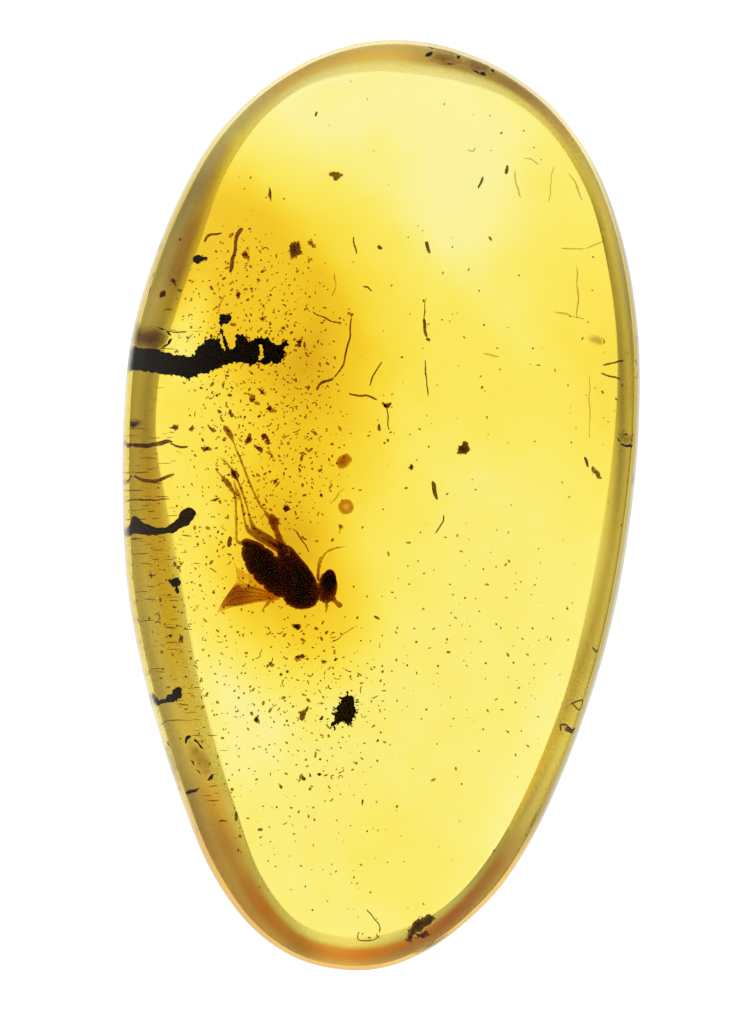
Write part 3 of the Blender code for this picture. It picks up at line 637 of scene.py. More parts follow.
def thread(path, half_width, height=0.0, lift=None):
    """Stations for a fine thread along a path in plan, thinned at its two ends."""
    last = len(path) - 1
    stations = []
    for index, (x, y) in enumerate(path):
        width = 0.0 if index in (0, last) else half_width
        stations.append((x, y, height + (lift(x, y) if lift else 0), width, width))
    first_end = between(*(stations[0], stations[0], stations[1], stations[1]), 0.25)
    last_end = between(*(stations[-2], stations[-2], stations[-1], stations[-1]), 0.75)
    stations.insert(1, (*first_end[:3], half_width * 0.8, half_width * 0.8))
    stations.insert(-1, (*last_end[:3], half_width * 0.8, half_width * 0.8))
    return stations


def wing_material():
    material, tree, shader, in_mm = new_material("wing_membrane")
    base = use_group(tree, MOTTLE, in_mm, Size=0.5, Dark=(0.74, 0.48, 0.14, 1), Light=(0.9, 0.72, 0.34, 1))
    shade = base["Color"]
    for patch, tint in WING_PATCHES:
        shade = stained(tree, shade, patch_depth(tree, in_mm, *patch), tint, "MIX")
    tree.links.new(shade, shader.inputs["Base Color"])
    shader.inputs["Roughness"].default_value = 0.0
    shader.inputs["IOR"].default_value = SEALED_IOR
    shader.inputs["Transmission Weight"].default_value = 1.0
    return material


wing_form = bmesh.new()
for height, outline in WINGS:
    add_sheet(wing_form, outline, LEVEL + height, WING_HALF_THICKNESS)
place("fly_wings", settled("fly_wings", wing_form), wing_material(), "fly_cuticle")
vein_form = bmesh.new()
for height, path in WING_VEINS:
    strung(vein_form, thread(path, VEIN_HALF_WIDTH, height, wing_lift), sides=8)
place("fly_wing_veins", settled("fly_wing_veins", vein_form), CUTICLE, "fly_cuticle")

# The bristles: short stiff hairs that stand on the thorax, the abdomen and the legs, leaning at random.
BRISTLES_PER_MM2 = 110
BRISTLE_LENGTH = 0.055
BRISTLE_RADIUS = 0.0035
BRISTLE_LEAN = 0.5
BRISTLE_SIZES = (0.5, 1.4)
BRISTLE_SEED = 5


def new_nodes(name, inputs):
    """A geometry node group with named inputs, and its two end nodes."""
    tree = bpy.data.node_groups.new(name, "GeometryNodeTree")
    tree.interface.new_socket("Geometry", in_out="INPUT", socket_type="NodeSocketGeometry")
    for label, kind in inputs:
        tree.interface.new_socket(label, in_out="INPUT", socket_type="NodeSocket" + kind)
    tree.interface.new_socket("Geometry", in_out="OUTPUT", socket_type="NodeSocketGeometry")
    return tree, tree.nodes.new("NodeGroupInput").outputs, tree.nodes.new("NodeGroupOutput").inputs


def finished(tree, placed, material, result):
    """The tree, ended by making the copies real and giving them their material."""
    real = add(tree, "GeometryNodeRealizeInstances", ((placed.outputs[0], 0),))
    finish = add(tree, "GeometryNodeSetMaterial", ((real.outputs[0], "Geometry"), (material, "Material")))
    tree.links.new(finish.outputs[0], result["Geometry"])
    return tree


def grown(name, carrier, tree, values):
    """The plain mesh that a geometry node tree makes on a carrier mesh, with its inputs set by name."""
    model = bpy.data.objects.new(name, carrier)
    bpy.context.scene.collection.objects.link(model)
    modifier = model.modifiers.new(name, "NODES")
    modifier.node_group = tree
    for item in tree.interface.items_tree:
        if item.in_out == "INPUT" and item.name in values:
            modifier[item.identifier] = values[item.name]
    graph = bpy.context.evaluated_depsgraph_get()
    mesh = bpy.data.meshes.new_from_object(model.evaluated_get(graph))
    bpy.data.objects.remove(model)
    return mesh


def bristle_tree():
    """Short cones that stand on a surface and lean at random."""
    tree, given, result = new_nodes(
        "bristles", (("Per mm2", "Float"), ("Length", "Float"), ("Radius", "Float"), ("Seed", "Int"),
                     ("Finish", "Material")))
    points = add(tree, "GeometryNodeDistributePointsOnFaces",
                 ((given["Geometry"], "Mesh"), (given["Per mm2"], "Density"), (given["Seed"], "Seed")))
    hair = add(tree, "GeometryNodeMeshCone",
               ((given["Length"], "Depth"), (given["Radius"], "Radius Bottom")),
               Vertices=5, Side_Segments=1, Fill_Segments=1)
    lean = add(tree, "FunctionNodeRandomValue", ((given["Seed"], "Seed"),), data_type="FLOAT_VECTOR")
    lean.inputs[0].default_value = (-BRISTLE_LEAN, -BRISTLE_LEAN, 0)
    lean.inputs[1].default_value = (BRISTLE_LEAN, BRISTLE_LEAN, 6.28)
    leaning = add(tree, "FunctionNodeRotateRotation",
                  ((points.outputs["Rotation"], 0), (lean.outputs[0], 1)), rotation_space="LOCAL")
    size = add(tree, "FunctionNodeRandomValue", ((given["Seed"], "Seed"),), data_type="FLOAT")
    size.inputs[2].default_value, size.inputs[3].default_value = BRISTLE_SIZES
    placed = add(tree, "GeometryNodeInstanceOnPoints",
                 ((points.outputs["Points"], "Points"), (hair.outputs["Mesh"], "Instance"),
                  (leaning.outputs[0], "Rotation"), (size.outputs[1], "Scale")))
    return finished(tree, placed, given["Finish"], result)


bristle_ground = bmesh.new()
for stations, sides, joints, pinch in FLY_PARTS:
    if stations in (ABDOMEN, THORAX, HEAD, LEG_NEAR_FORE, LEG_MIDDLE, LEG_FAR_FORE, LEG_HIND):
        strung(bristle_ground, stations, sides, joints, pinch)
bristle_mesh = grown("fly_bristles", settled("bristle_ground", bristle_ground), bristle_tree(),
                     {"Per mm2": BRISTLES_PER_MM2, "Length": BRISTLE_LENGTH, "Radius": BRISTLE_RADIUS,
                      "Seed": BRISTLE_SEED, "Finish": CUTICLE})
place("fly_bristles", bristle_mesh, CUTICLE, "fly_cuticle")

# ---------------------------------------------------------------- the charred twig
# A lumpy piece of plant that reaches in from the left edge: a stout dark stalk, then two crumbling knots
# with a split between them, all with a fringe of broken fibres. It is one piece, charred nearly black.
TWIG_STALK = (
    (-5.32, 3.10, 0, 0, 0), (-5.31, 3.10, 0, 0.19, 0.18), (-5.15, 3.10, 0, 0.23, 0.22),
    (-4.85, 3.08, 0, 0.24, 0.24), (-4.60, 3.02, 0, 0.235, 0.24), (-4.35, 2.97, 0, 0.22, 0.23),
    (-4.05, 2.95, 0, 0.20, 0.22), (-3.80, 2.98, 0, 0.19, 0.20), (-3.40, 3.06, 0, 0.13, 0.15),
    (-3.10, 3.14, 0, 0.11, 0.12), (-2.85, 3.15, 0, 0.12, 0.12), (-2.72, 3.18, 0, 0, 0))
# Knots: x, y, half width, half length, half depth, turn in degrees.
TWIG_KNOTS = (
    (-3.72, 3.10, 0.20, 0.30, 0.24, 10), (-3.56, 3.22, 0.20, 0.26, 0.24, -10),
    (-3.42, 3.12, 0.15, 0.22, 0.20, 0), (-3.80, 3.02, 0.20, 0.20, 0.20, 0),
    (-3.62, 3.04, 0.22, 0.17, 0.2, 0), (-3.17, 3.16, 0.15, 0.12, 0.14, 0),
    (-3.01, 3.20, 0.12, 0.17, 0.16, 0), (-2.90, 3.32, 0.12, 0.24, 0.18, -8),
    (-2.81, 3.20, 0.16, 0.18, 0.2, 0), (-2.68, 3.26, 0.12, 0.22, 0.18, 0),
    (-2.72, 3.10, 0.15, 0.11, 0.12, 0), (-2.55, 3.47, 0.14, 0.06, 0.08, 6),
    (-2.38, 3.30, 0.10, 0.25, 0.18, 4), (-2.29, 3.24, 0.13, 0.20, 0.18, 0),
    (-2.19, 3.13, 0.11, 0.14, 0.14, 0), (-2.17, 3.31, 0.10, 0.07, 0.1, 30),
    (-2.04, 3.40, 0.08, 0.06, 0.07, 30), (-2.07, 3.24, 0.06, 0.045, 0.06, 0),
    (-2.41, 3.06, 0.12, 0.07, 0.1, 5), (-3.50, 3.30, 0.15, 0.22, 0.18, 14),
    (-3.60, 3.44, 0.09, 0.10, 0.1, 0), (-2.99, 3.46, 0.07, 0.13, 0.1, -14),
    (-4.30, 2.90, 0.26, 0.14, 0.2, 0), (-4.02, 2.85, 0.22, 0.13, 0.18, 8))
TWIG_SPUR = ((-3.38, 3.76), (-3.33, 3.60), (-3.27, 3.42), (-3.20, 3.24), (-3.15, 3.10))
TWIG_FIBRES, TWIG_FIBRE_REACH, TWIG_FIBRE_HALF_WIDTH = 170, 0.11, 0.018
CHAR_GRAIN, CHAR_ROUGHNESS = 0.014, 0.045


def add_lumps(form, lumps):
    for lump in lumps:
        bmesh.ops.create_icosphere(form, subdivisions=3, radius=1.0, matrix=lump_matrix(*lump))


def add_fringe(form, lumps, count, reach, half_width, chance):
    """Add broken fibres that stick out of the lumps in plan."""
    for _ in range(count):
        x, y, half_x, half_y, half_z, turn = chance.choice(lumps)
        angle = chance.uniform(0, math.tau)
        root = lump_matrix(x, y, half_x, half_y, half_z, turn, 0) @ Vector(
            (math.cos(angle) * 0.7, math.sin(angle) * 0.7, chance.uniform(-0.4, 0.4)))
        out = (root - Vector((x, y, 0))).normalized()
        tip = root + out * (min(half_x, half_y) * 0.45 + reach * chance.uniform(0.3, 1.0))
        bend = Vector((chance.uniform(-1, 1), chance.uniform(-1, 1), 0)) * reach * 0.3
        middle = (root + tip) / 2 + bend
        strung(form, ((*root, 0, 0), (*root.lerp(middle, 0.2), half_width, half_width),
                      (*middle, half_width * 0.8, half_width * 0.8), (*tip, 0, 0)), sides=6, fineness=3)


def weathered(name, form, grain, roughness, seed):
    """One crumbly skin round overlapping forms: fused at the grain, then roughened."""
    mesh = settled(name, form, (("REMESH", {"mode": "VOXEL", "voxel_size": grain}),))
    roughened(mesh, grain * 6, roughness, seed)
    return roughened(mesh, grain * 2, roughness * 0.5, seed + 7)


CHARRED = sealed_material("charred_plant", 0.08, (0.006, 0.004, 0.001), (0.028, 0.019, 0.006), 0.0,
                          roughness=0.8, bump=0.01)
twig_form = bmesh.new()
strung(twig_form, TWIG_STALK, 16, 9, 0.05)
add_lumps(twig_form, TWIG_KNOTS)
strung(twig_form, thread(TWIG_SPUR, 0.032, 0.03), sides=8)
chance = random.Random(11)
add_fringe(twig_form, TWIG_KNOTS, TWIG_FIBRES, TWIG_FIBRE_REACH, TWIG_FIBRE_HALF_WIDTH, chance)
twig_mesh = weathered("charred_twig", twig_form, CHAR_GRAIN, CHAR_ROUGHNESS, 1.0)
place("charred_twig", twig_mesh, CHARRED, "plant_remains", ("plant_fragment",))

# The curled husk below it: a thick crescent of the same plant with a knob at its inner end.
CURLED_HUSK = (
    (-5.46, -0.15, 0, 0.000, 0.000), (-5.42, -0.21, 0, 0.086, 0.086), (-5.35, -0.30, 0, 0.156, 0.151),
    (-5.22, -0.41, 0, 0.177, 0.173), (-5.06, -0.50, 0, 0.143, 0.143), (-4.86, -0.55, 0, 0.104, 0.108),
    (-4.64, -0.57, 0, 0.074, 0.086), (-4.43, -0.53, 0, 0.086, 0.095), (-4.28, -0.44, 0, 0.099, 0.099),
    (-4.17, -0.34, 0, 0.104, 0.104), (-4.10, -0.25, 0, 0.138, 0.130), (-4.01, -0.21, 0, 0.138, 0.130),
    (-3.94, -0.19, 0, 0.078, 0.078), (-3.89, -0.19, 0, 0.000, 0.000))
HUSK_KNOB = ((-4.04, -0.20, 0.13, 0.13, 0.12, 0), (-4.12, -0.38, 0.10, 0.09, 0.1, 0))
HUSK_GRAIN, HUSK_ROUGHNESS = 0.016, 0.025
HUSK_BROWN = sealed_material("curled_husk", 0.1, (0.015, 0.009, 0.003), (0.07, 0.04, 0.011), 0.0,
                             roughness=0.8, bump=0.01)
husk_form = bmesh.new()
strung(husk_form, CURLED_HUSK, 16, 6, 0.08)
add_lumps(husk_form, HUSK_KNOB)
husk_mesh = weathered("curled_husk", husk_form, HUSK_GRAIN, HUSK_ROUGHNESS, 3.0)
place("curled_husk", husk_mesh, HUSK_BROWN, "plant_remains", ("curled_fragment",))

# ---------------------------------------------------------------- bark chips and leaf scraps
# Twelve larger crumbs of bark and leaf, each a separate piece: torn at the edges, and brown where the light
# comes through their thin parts. Lumps as above; then the number of fibres on the fringe and their reach.
CHIPS = (
    ("bark_chip_large", ((-0.70, -4.22, 0.14, 0.17, 0.12, -15), (-0.74, -4.38, 0.20, 0.16, 0.13, -10),
                         (-0.86, -4.50, 0.11, 0.16, 0.11, -35), (-0.70, -4.56, 0.07, 0.12, 0.09, -5),
                         (-1.00, -4.66, 0.04, 0.07, 0.05, -50)), 60, 0.12),
    ("leaf_scrap", ((0.95, -8.86, 0.17, 0.10, 0.07, 30), (0.78, -8.96, 0.16, 0.12, 0.08, 40),
                    (0.66, -9.08, 0.07, 0.09, 0.06, 0), (0.86, -9.17, 0.10, 0.05, 0.05, 20),
                    (0.60, -9.20, 0.05, 0.08, 0.05, -20)), 40, 0.12),
    ("bark_chip_square", ((1.73, 1.18, 0.12, 0.10, 0.08, 12), (1.76, 1.27, 0.06, 0.08, 0.06, 0),
                          (1.66, 1.12, 0.07, 0.05, 0.05, 20)), 8, 0.05),
    ("bark_chip_wedge", ((-4.28, -4.02, 0.10, 0.13, 0.08, 10), (-4.40, -4.12, 0.14, 0.09, 0.08, 15),
                         (-4.54, -4.18, 0.10, 0.04, 0.05, 10), (-4.24, -3.95, 0.05, 0.08, 0.05, 0)),
     6, 0.05),
    ("bark_chip_narrow", ((-4.31, -1.66, 0.09, 0.10, 0.07, -10), (-4.38, -1.64, 0.08, 0.05, 0.05, 20),
                          (-4.29, -1.80, 0.04, 0.09, 0.05, 5)), 4, 0.04),
    ("half_round_chip", ((-1.84, 5.42, 0.09, 0.16, 0.06, 0), (-1.76, 5.48, 0.07, 0.08, 0.05, 0),
                         (-1.75, 5.36, 0.07, 0.07, 0.05, 0)), 24, 0.09),
    ("thin_flake", ((-0.95, 7.02, 0.16, 0.05, 0.03, -4), (-0.95, 6.96, 0.07, 0.07, 0.04, 0)), 4, 0.03),
    ("bark_chip_upper", ((-3.86, 5.22, 0.10, 0.09, 0.07, 20), (-3.74, 5.24, 0.08, 0.04, 0.04, 0)), 8, 0.05),
    ("bark_chip_middle", ((-3.29, 3.94, 0.11, 0.10, 0.08, -15), (-3.22, 3.98, 0.07, 0.05, 0.05, 30),
                          (-3.36, 3.86, 0.05, 0.06, 0.05, 0)), 14, 0.06),
    ("leaf_tip", ((-1.64, -4.48, 0.06, 0.13, 0.04, -18), (-1.56, -4.36, 0.02, 0.10, 0.02, -30)), 3, 0.04),
    ("bark_chip_right", ((4.54, 0.66, 0.05, 0.12, 0.03, 28), (4.46, 0.74, 0.04, 0.08, 0.03, 20)), 5, 0.05),
    ("bark_chip_edge", ((4.04, -4.86, 0.11, 0.07, 0.05, -25), (3.93, -4.79, 0.08, 0.05, 0.05, -40)),
     5, 0.05))
CHIP_GRAIN, CHIP_ROUGHNESS = 0.010, 0.032
CHIP_FIBRE_HALF_WIDTH = 0.013
BARK = sealed_material("bark_crumb", 0.06, (0.20, 0.11, 0.02), (0.6, 0.42, 0.12), 0.95,
                       roughness=0.3, bump=0.006, absorption=((0.35, 0.26, 0.03), 20))
OLD_BARK = sealed_material("old_bark", 0.06, (0.010, 0.007, 0.002), (0.06, 0.035, 0.010), 0.3,
                           roughness=0.6, bump=0.006)
DARK_CHIPS = ("bark_chip_large", "bark_chip_wedge", "bark_chip_narrow", "bark_chip_upper",
              "bark_chip_middle")
for index, (node, lumps, fibres, reach) in enumerate(CHIPS):
    chip_form = bmesh.new()
    add_lumps(chip_form, lumps)
    add_fringe(chip_form, lumps, fibres, reach, CHIP_FIBRE_HALF_WIDTH, chance)
    chip_mesh = weathered(node, chip_form, CHIP_GRAIN, CHIP_ROUGHNESS, index * 1.7)
    chip_finish = OLD_BARK if node in DARK_CHIPS else BARK
    place(node + "_crumb", chip_mesh, chip_finish, "bark_scraps", (node,))

# ---------------------------------------------------------------- beads of brown resin
# Two drops of an older, browner resin: a solid one, and one hollowed from both faces so that its middle is
# paler than its ring. Place, half sizes, turn, how much of its height the hollow takes, and unevenness.
BEADS = (
    ("resin_bead_upper", (-0.79, 0.92), (0.19, 0.13, 0.11), 38, 0.0, 0.05),
    ("resin_bead_lower", (-0.735, -0.05), (0.165, 0.165, 0.12), 0, 0.82, 0.015))
BEAD_HOLLOW_REACH = 0.6
BEAD_RINGS = 24
BEAD_SIDES = 40
BEAD_RESIN = sealed_material("brown_resin", 0.08, (0.8, 0.66, 0.45), (1.0, 0.96, 0.85), 1.0,
                             absorption=((0.70, 0.42, 0.04), 13))
for node, (x, y), (half_x, half_y, half_z), turn, hollow, uneven in BEADS:
    bead_form = bmesh.new()
    columns = []
    for side in range(BEAD_SIDES):
        angle = math.tau * side / BEAD_SIDES
        column = []
        for ring in range(1, BEAD_RINGS):
            tilt = math.pi * ring / BEAD_RINGS
            out = math.sin(tilt)
            up = math.cos(tilt) * (1 - hollow * math.exp(-(out / BEAD_HOLLOW_REACH) ** 2))
            column.append(Vector((half_x * out * math.cos(angle), half_y * out * math.sin(angle),
                                  half_z * up)))
        columns.append(column)
    add_skin(bead_form, columns, (0, 0, half_z * (1 - hollow)), (0, 0, -half_z * (1 - hollow)))
    bead_form.transform(Matrix.Translation((x, y, LEVEL)) @ Matrix.Rotation(math.radians(turn), 4, "Z"))
    bead_mesh = roughened(settled(node, bead_form), 0.12, uneven, x)
    place(node + "_drop", bead_mesh, BEAD_RESIN, "brown_resin", (node,))

# ---------------------------------------------------------------- loose crumbs
# Smaller crumbs of the same bark that can be told apart by eye, sealed in the resin with the rest: dark
# ones, and paler, thinner ones. Place, half length, half width, turn in degrees.
DARK_CRUMBS = (
    (-2.35, 6.60, 0.15, 0.04, 80), (0.00, 5.45, 0.10, 0.06, -70), (-2.85, 5.30, 0.13, 0.06, -90),
    (-4.00, 4.75, 0.10, 0.03, -15), (-4.35, 4.75, 0.11, 0.05, -55), (-4.60, 4.50, 0.12, 0.08, 80),
    (-0.65, 4.05, 0.07, 0.05, -40), (-2.50, 3.95, 0.10, 0.03, 5), (-0.85, 3.85, 0.07, 0.04, -60),
    (-1.75, 3.40, 0.11, 0.07, 40), (-2.50, 2.35, 0.16, 0.05, -70), (-3.20, 2.30, 0.08, 0.07, -15),
    (-2.65, 2.25, 0.11, 0.09, 5), (0.10, 2.10, 0.10, 0.07, -75), (-2.35, 2.05, 0.11, 0.06, -40),
    (-3.15, 1.95, 0.10, 0.06, -90), (-4.35, 1.65, 0.13, 0.07, -25), (-3.55, 1.60, 0.17, 0.05, -45),
    (-4.00, 1.60, 0.13, 0.06, 35), (-2.40, 1.40, 0.16, 0.09, -60), (-2.80, 1.35, 0.15, 0.08, 60),
    (0.15, 1.35, 0.06, 0.03, -85), (-3.65, 1.20, 0.12, 0.05, 10), (-2.60, 1.20, 0.14, 0.06, -35),
    (0.65, 0.80, 0.08, 0.05, 65), (-3.05, 0.60, 0.18, 0.07, -75), (-2.20, 0.45, 0.10, 0.05, -80),
    (-1.25, 0.20, 0.06, 0.03, -70), (-3.45, 0.10, 0.15, 0.06, -5), (-2.00, -0.05, 0.14, 0.10, 80),
    (5.05, -0.45, 0.07, 0.03, 80), (-1.75, -2.60, 0.12, 0.09, -35), (-4.20, -2.80, 0.21, 0.05, 70),
    (-1.70, -3.25, 0.12, 0.08, 40), (-0.95, -3.30, 0.07, 0.03, 40), (-2.35, -3.40, 0.10, 0.06, 25),
    (-1.25, -4.55, 0.07, 0.04, 70), (-2.60, -4.55, 0.13, 0.05, -85), (-1.30, -5.75, 0.06, 0.04, -40),
    (-1.65, -5.80, 0.11, 0.07, -75), (-3.95, -6.10, 0.14, 0.05, 15), (-0.40, -6.30, 0.08, 0.03, -75))
PALE_CRUMBS = (
    (-1.45, 5.55, 0.14, 0.06, -45), (-3.00, 4.45, 0.11, 0.06, 60), (-5.15, 3.80, 0.10, 0.06, 45),
    (-3.30, 2.55, 0.10, 0.04, 65), (-5.20, 1.70, 0.12, 0.07, 10), (-2.30, 1.05, 0.11, 0.02, -85),
    (-0.85, -0.50, 0.09, 0.06, -85), (-2.35, -2.75, 0.12, 0.02, 70), (-1.20, -3.35, 0.10, 0.04, 20),
    (-4.85, -3.75, 0.14, 0.04, 10), (-3.30, -6.75, 0.11, 0.03, 10))
DARK_CRUMB = sealed_material("dark_crumb", 0.25, (0.15, 0.07, 0.015), (0.58, 0.36, 0.10), 1.0)
PALE_CRUMB = sealed_material("pale_crumb", 0.4, (0.35, 0.22, 0.08), (0.62, 0.48, 0.25), 1.0)


def crumb_mesh(name, crumbs, chance):
    """Each crumb is two to four jagged lumps that hang together."""
    form = bmesh.new()
    for x, y, half_length, half_width, turn in crumbs:
        shape = lump_matrix(x, y, 1, 1, 1, turn, LEVEL + chance.uniform(-0.3, 0.3))
        for _ in range(chance.randint(2, 4)):
            half = Vector((half_length * chance.uniform(0.3, 0.62), half_width * chance.uniform(0.35, 0.8),
                           half_width * 0.5))
            middle = Vector((chance.uniform(-0.5, 0.5) * half_length,
                             chance.uniform(-0.45, 0.45) * half_width, 0))
            lean = Matrix.Rotation(chance.uniform(-0.9, 0.9), 4, "Z")
            shift = Vector([chance.uniform(-9, 9) for _ in range(3)])
            made = bmesh.ops.create_icosphere(form, subdivisions=2, radius=1.0)
            for vertex in made["verts"]:
                out = 1.0 + 1.1 * noise.noise(vertex.co * 2.1 + shift)
                vertex.co = shape @ (middle + lean @ (vertex.co * half * out))
    return settled(name, form)


for name, crumbs, material in (("dark_crumbs", DARK_CRUMBS, DARK_CRUMB),
                               ("pale_crumbs", PALE_CRUMBS, PALE_CRUMB)):
    place(name, crumb_mesh(name, crumbs, chance), material, "bark_scraps", smooth=False)

# ---------------------------------------------------------------- threads and hairs
# Plant hairs, splinters and hair-fine cracks, most of them brown and some nearly clear: half width, then
# the path in plan.
DARK_THREADS = (
    (0.011, ((0.93, 4.40), (0.92, 4.10), (0.93, 3.77))),
    (0.035, ((0.92, 3.95), (0.93, 3.73), (0.98, 3.56))), (0.032, ((0.95, 3.54), (1.04, 3.50))),
    (0.015, ((0.93, 3.08), (0.94, 2.86), (0.97, 2.56), (0.99, 2.28))),
    (0.039, ((0.95, 5.60), (0.99, 5.46), (1.04, 5.33))),
    (0.024, ((2.14, 6.99), (2.09, 6.86), (2.05, 6.71))),
    (0.030, ((2.66, 7.23), (2.64, 7.12), (2.63, 7.04))),
    (0.017, ((-0.58, 5.70), (-0.54, 5.50), (-0.52, 5.31))),
    (0.017, ((-0.39, 4.65), (-0.28, 4.62), (-0.18, 4.52))),
    (0.017, ((0.00, 3.02), (-0.13, 2.78), (-0.24, 2.52))),
    (0.022, ((-0.67, 2.36), (-0.45, 2.32), (-0.24, 2.30), (-0.08, 2.25))),
    (0.030, ((0.04, 2.17), (0.13, 2.06), (0.21, 2.16))),
    (0.013, ((0.13, 2.09), (0.15, 1.85), (0.19, 1.57))),
    (0.032, ((-0.06, 1.73), (-0.03, 1.63), (-0.01, 1.55))),
    (0.043, ((1.10, 0.53), (1.12, 0.31), (1.14, 0.10))),
    (0.017, ((1.30, -0.23), (1.28, -0.38), (1.12, -0.62))),
    (0.019, ((-0.62, 3.99), (-0.68, 3.45), (-0.83, 2.91), (-0.99, 2.69))),
    (0.030, ((-0.99, 2.69), (-1.10, 2.65), (-1.28, 2.54), (-1.34, 2.42))),
    (0.015, ((-1.43, 4.10), (-1.21, 3.97), (-1.05, 3.90), (-0.86, 3.87))),
    (0.041, ((-2.92, 5.91), (-3.02, 5.72), (-3.06, 5.50), (-3.10, 5.24), (-3.15, 4.94))),
    (0.026, ((-3.72, 5.59), (-3.65, 5.70), (-3.52, 5.75), (-3.35, 5.77))),
    (0.019, ((-2.34, 6.75), (-2.34, 6.61), (-2.32, 6.45))),
    (0.013, ((-4.51, 3.70), (-4.30, 3.68), (-4.08, 3.66))),
    (0.048, ((-5.23, 1.29), (-4.99, 1.26), (-4.71, 1.29), (-4.37, 1.34))),
    (0.026, ((-4.43, 1.29), (-4.22, 1.23), (-4.04, 1.22))),
    (0.032, ((-5.21, 0.62), (-5.06, 0.52), (-4.89, 0.49), (-4.62, 0.53), (-4.35, 0.64))),
    (0.017, ((-5.23, 0.12), (-4.86, 0.09), (-4.43, 0.12))),
    (0.013, ((-1.86, -0.50), (-1.73, -0.68), (-1.62, -0.82), (-1.48, -1.01))),
    (0.011, ((-1.05, -2.93), (-0.82, -2.80), (-0.56, -2.61))),
    (0.019, ((4.68, 2.99), (4.89, 3.04), (5.11, 3.07))),
    (0.024, ((4.61, 2.81), (4.82, 2.75), (5.06, 2.70))),
    (0.030, ((4.30, 1.02), (4.32, 0.92), (4.36, 0.80))),
    (0.019, ((4.42, -3.04), (4.52, -3.18), (4.67, -3.25), (4.78, -3.20))),
    (0.019, ((3.98, -4.26), (4.09, -4.18), (4.26, -4.13), (4.42, -4.14))),
    (0.019, ((4.02, -4.23), (4.11, -4.36), (4.18, -4.44))),
    (0.019, ((3.75, -4.83), (3.76, -4.71), (3.87, -4.69), (4.00, -4.77))),
    (0.013, ((-0.30, -8.62), (-0.17, -8.77), (-0.06, -8.96), (-0.03, -9.16))),
    (0.011, ((-0.04, -9.20), (-0.19, -9.29), (-0.45, -9.29), (-0.50, -9.20), (-0.46, -9.09))),
    (0.024, ((-4.08, -6.09), (-3.94, -6.09), (-3.81, -6.05))),
    (0.035, ((-3.05, -6.56), (-3.05, -6.65), (-3.05, -6.75))),
    (0.043, ((-3.14, -0.68), (-3.18, -0.79), (-3.22, -0.90))))
PALE_THREADS = (
    (0.019, ((2.81, 7.12), (2.85, 6.80), (2.98, 6.53))),
    (0.015, ((3.65, 7.21), (3.59, 6.80), (3.52, 6.43))),
    (0.019, ((3.98, 7.06), (4.13, 6.80), (4.24, 6.48))),
    (0.017, ((3.81, 5.46), (4.04, 5.43), (4.30, 5.46))),
    (0.015, ((4.30, 5.46), (4.56, 5.55), (4.74, 5.61))),
    (0.019, ((3.68, 4.10), (3.87, 4.08), (4.04, 4.01))), (0.015, ((4.00, 4.03), (4.26, 3.97))),
    (0.019, ((2.14, 3.21), (2.31, 3.17), (2.46, 3.15))),
    (0.017, ((3.03, 7.36), (3.18, 7.34), (3.33, 7.25))),
    (0.017, ((1.82, 7.54), (1.97, 7.54), (2.03, 7.62))),
    (0.015, ((4.13, 5.11), (4.15, 4.53), (4.13, 3.95))),
    (0.015, ((4.37, 2.80), (4.39, 2.26), (4.37, 1.39))),
    (0.013, ((-0.99, 4.92), (-0.95, 4.64), (-1.04, 4.42))),
    (0.017, ((-3.39, 4.05), (-3.39, 4.23), (-3.32, 4.42))),
    (0.015, ((-1.06, -0.01), (-0.95, 0.16), (-0.74, 0.38))), (0.030, ((-0.86, -0.44), (-0.86, -0.62))),
    (0.013, ((-2.79, 5.50), (-2.79, 5.24))), (0.017, ((-2.88, 5.37), (-2.79, 5.24), (-2.83, 5.11))),
    (0.017, ((-4.48, 3.73), (-4.30, 3.71), (-4.11, 3.64))))
DARK_THREAD = sealed_material("dark_thread", 0.3, (0.08, 0.035, 0.008), (0.30, 0.16, 0.05), 1.0)
THREAD_WAVE = 0.035
THREAD_SEED = 1
PALE_THREAD = sealed_material("pale_thread", 0.3, (0.55, 0.45, 0.25), (0.75, 0.66, 0.42), 1.0)
# The vector noise takes its offsets from the clock unless it is given a seed.
noise.seed_set(THREAD_SEED)
for name, threads, material in (("dark_threads", DARK_THREADS, DARK_THREAD),
                                ("pale_threads", PALE_THREADS, PALE_THREAD)):
    thread_form = bmesh.new()
    for half_width, path in threads:
        strung(thread_form, thread(path, half_width), sides=7)
    thread_mesh = roughened(settled(name, thread_form), 0.05, 0.008)
    for vertex in thread_mesh.vertices:
        vertex.co += noise.noise_vector(vertex.co * 5) * THREAD_WAVE
    place(name, thread_mesh, material, "plant_remains")

# ---------------------------------------------------------------- smudges near the edge
# Soft brown stains in the resin, thick in the middle and gone at their edges, most of them in the rim.
# They are lumps as above, spread in plan and thinned towards their edges.
SMUDGES = (
    (3.31, -6.67, 0.52, 0.10, 0.10, 61), (-3.82, -5.40, 0.42, 0.14, 0.06, -62),
    (1.32, 9.50, 0.30, 0.10, 0.06, -9), (2.08, 9.31, 0.26, 0.11, 0.05, -27),
    (-5.19, 1.72, 0.14, 0.09, 0.1, 12), (-4.86, 3.54, 0.36, 0.20, 0.16, 0),
    (4.52, 3.51, 0.15, 0.08, 0.06, -15), (5.10, 1.42, 0.16, 0.10, 0.05, -60),
    (-3.98, -6.71, 0.14, 0.09, 0.08, -64))
SMUDGE_SPREAD = 1.3
SMUDGE_STAIN = sealed_material("smudge", 0.2, (1.0, 1.0, 1.0), (1.0, 1.0, 1.0), 1.0,
                               absorption=((0.6, 0.45, 0.2), 11))
smudge_form = bmesh.new()
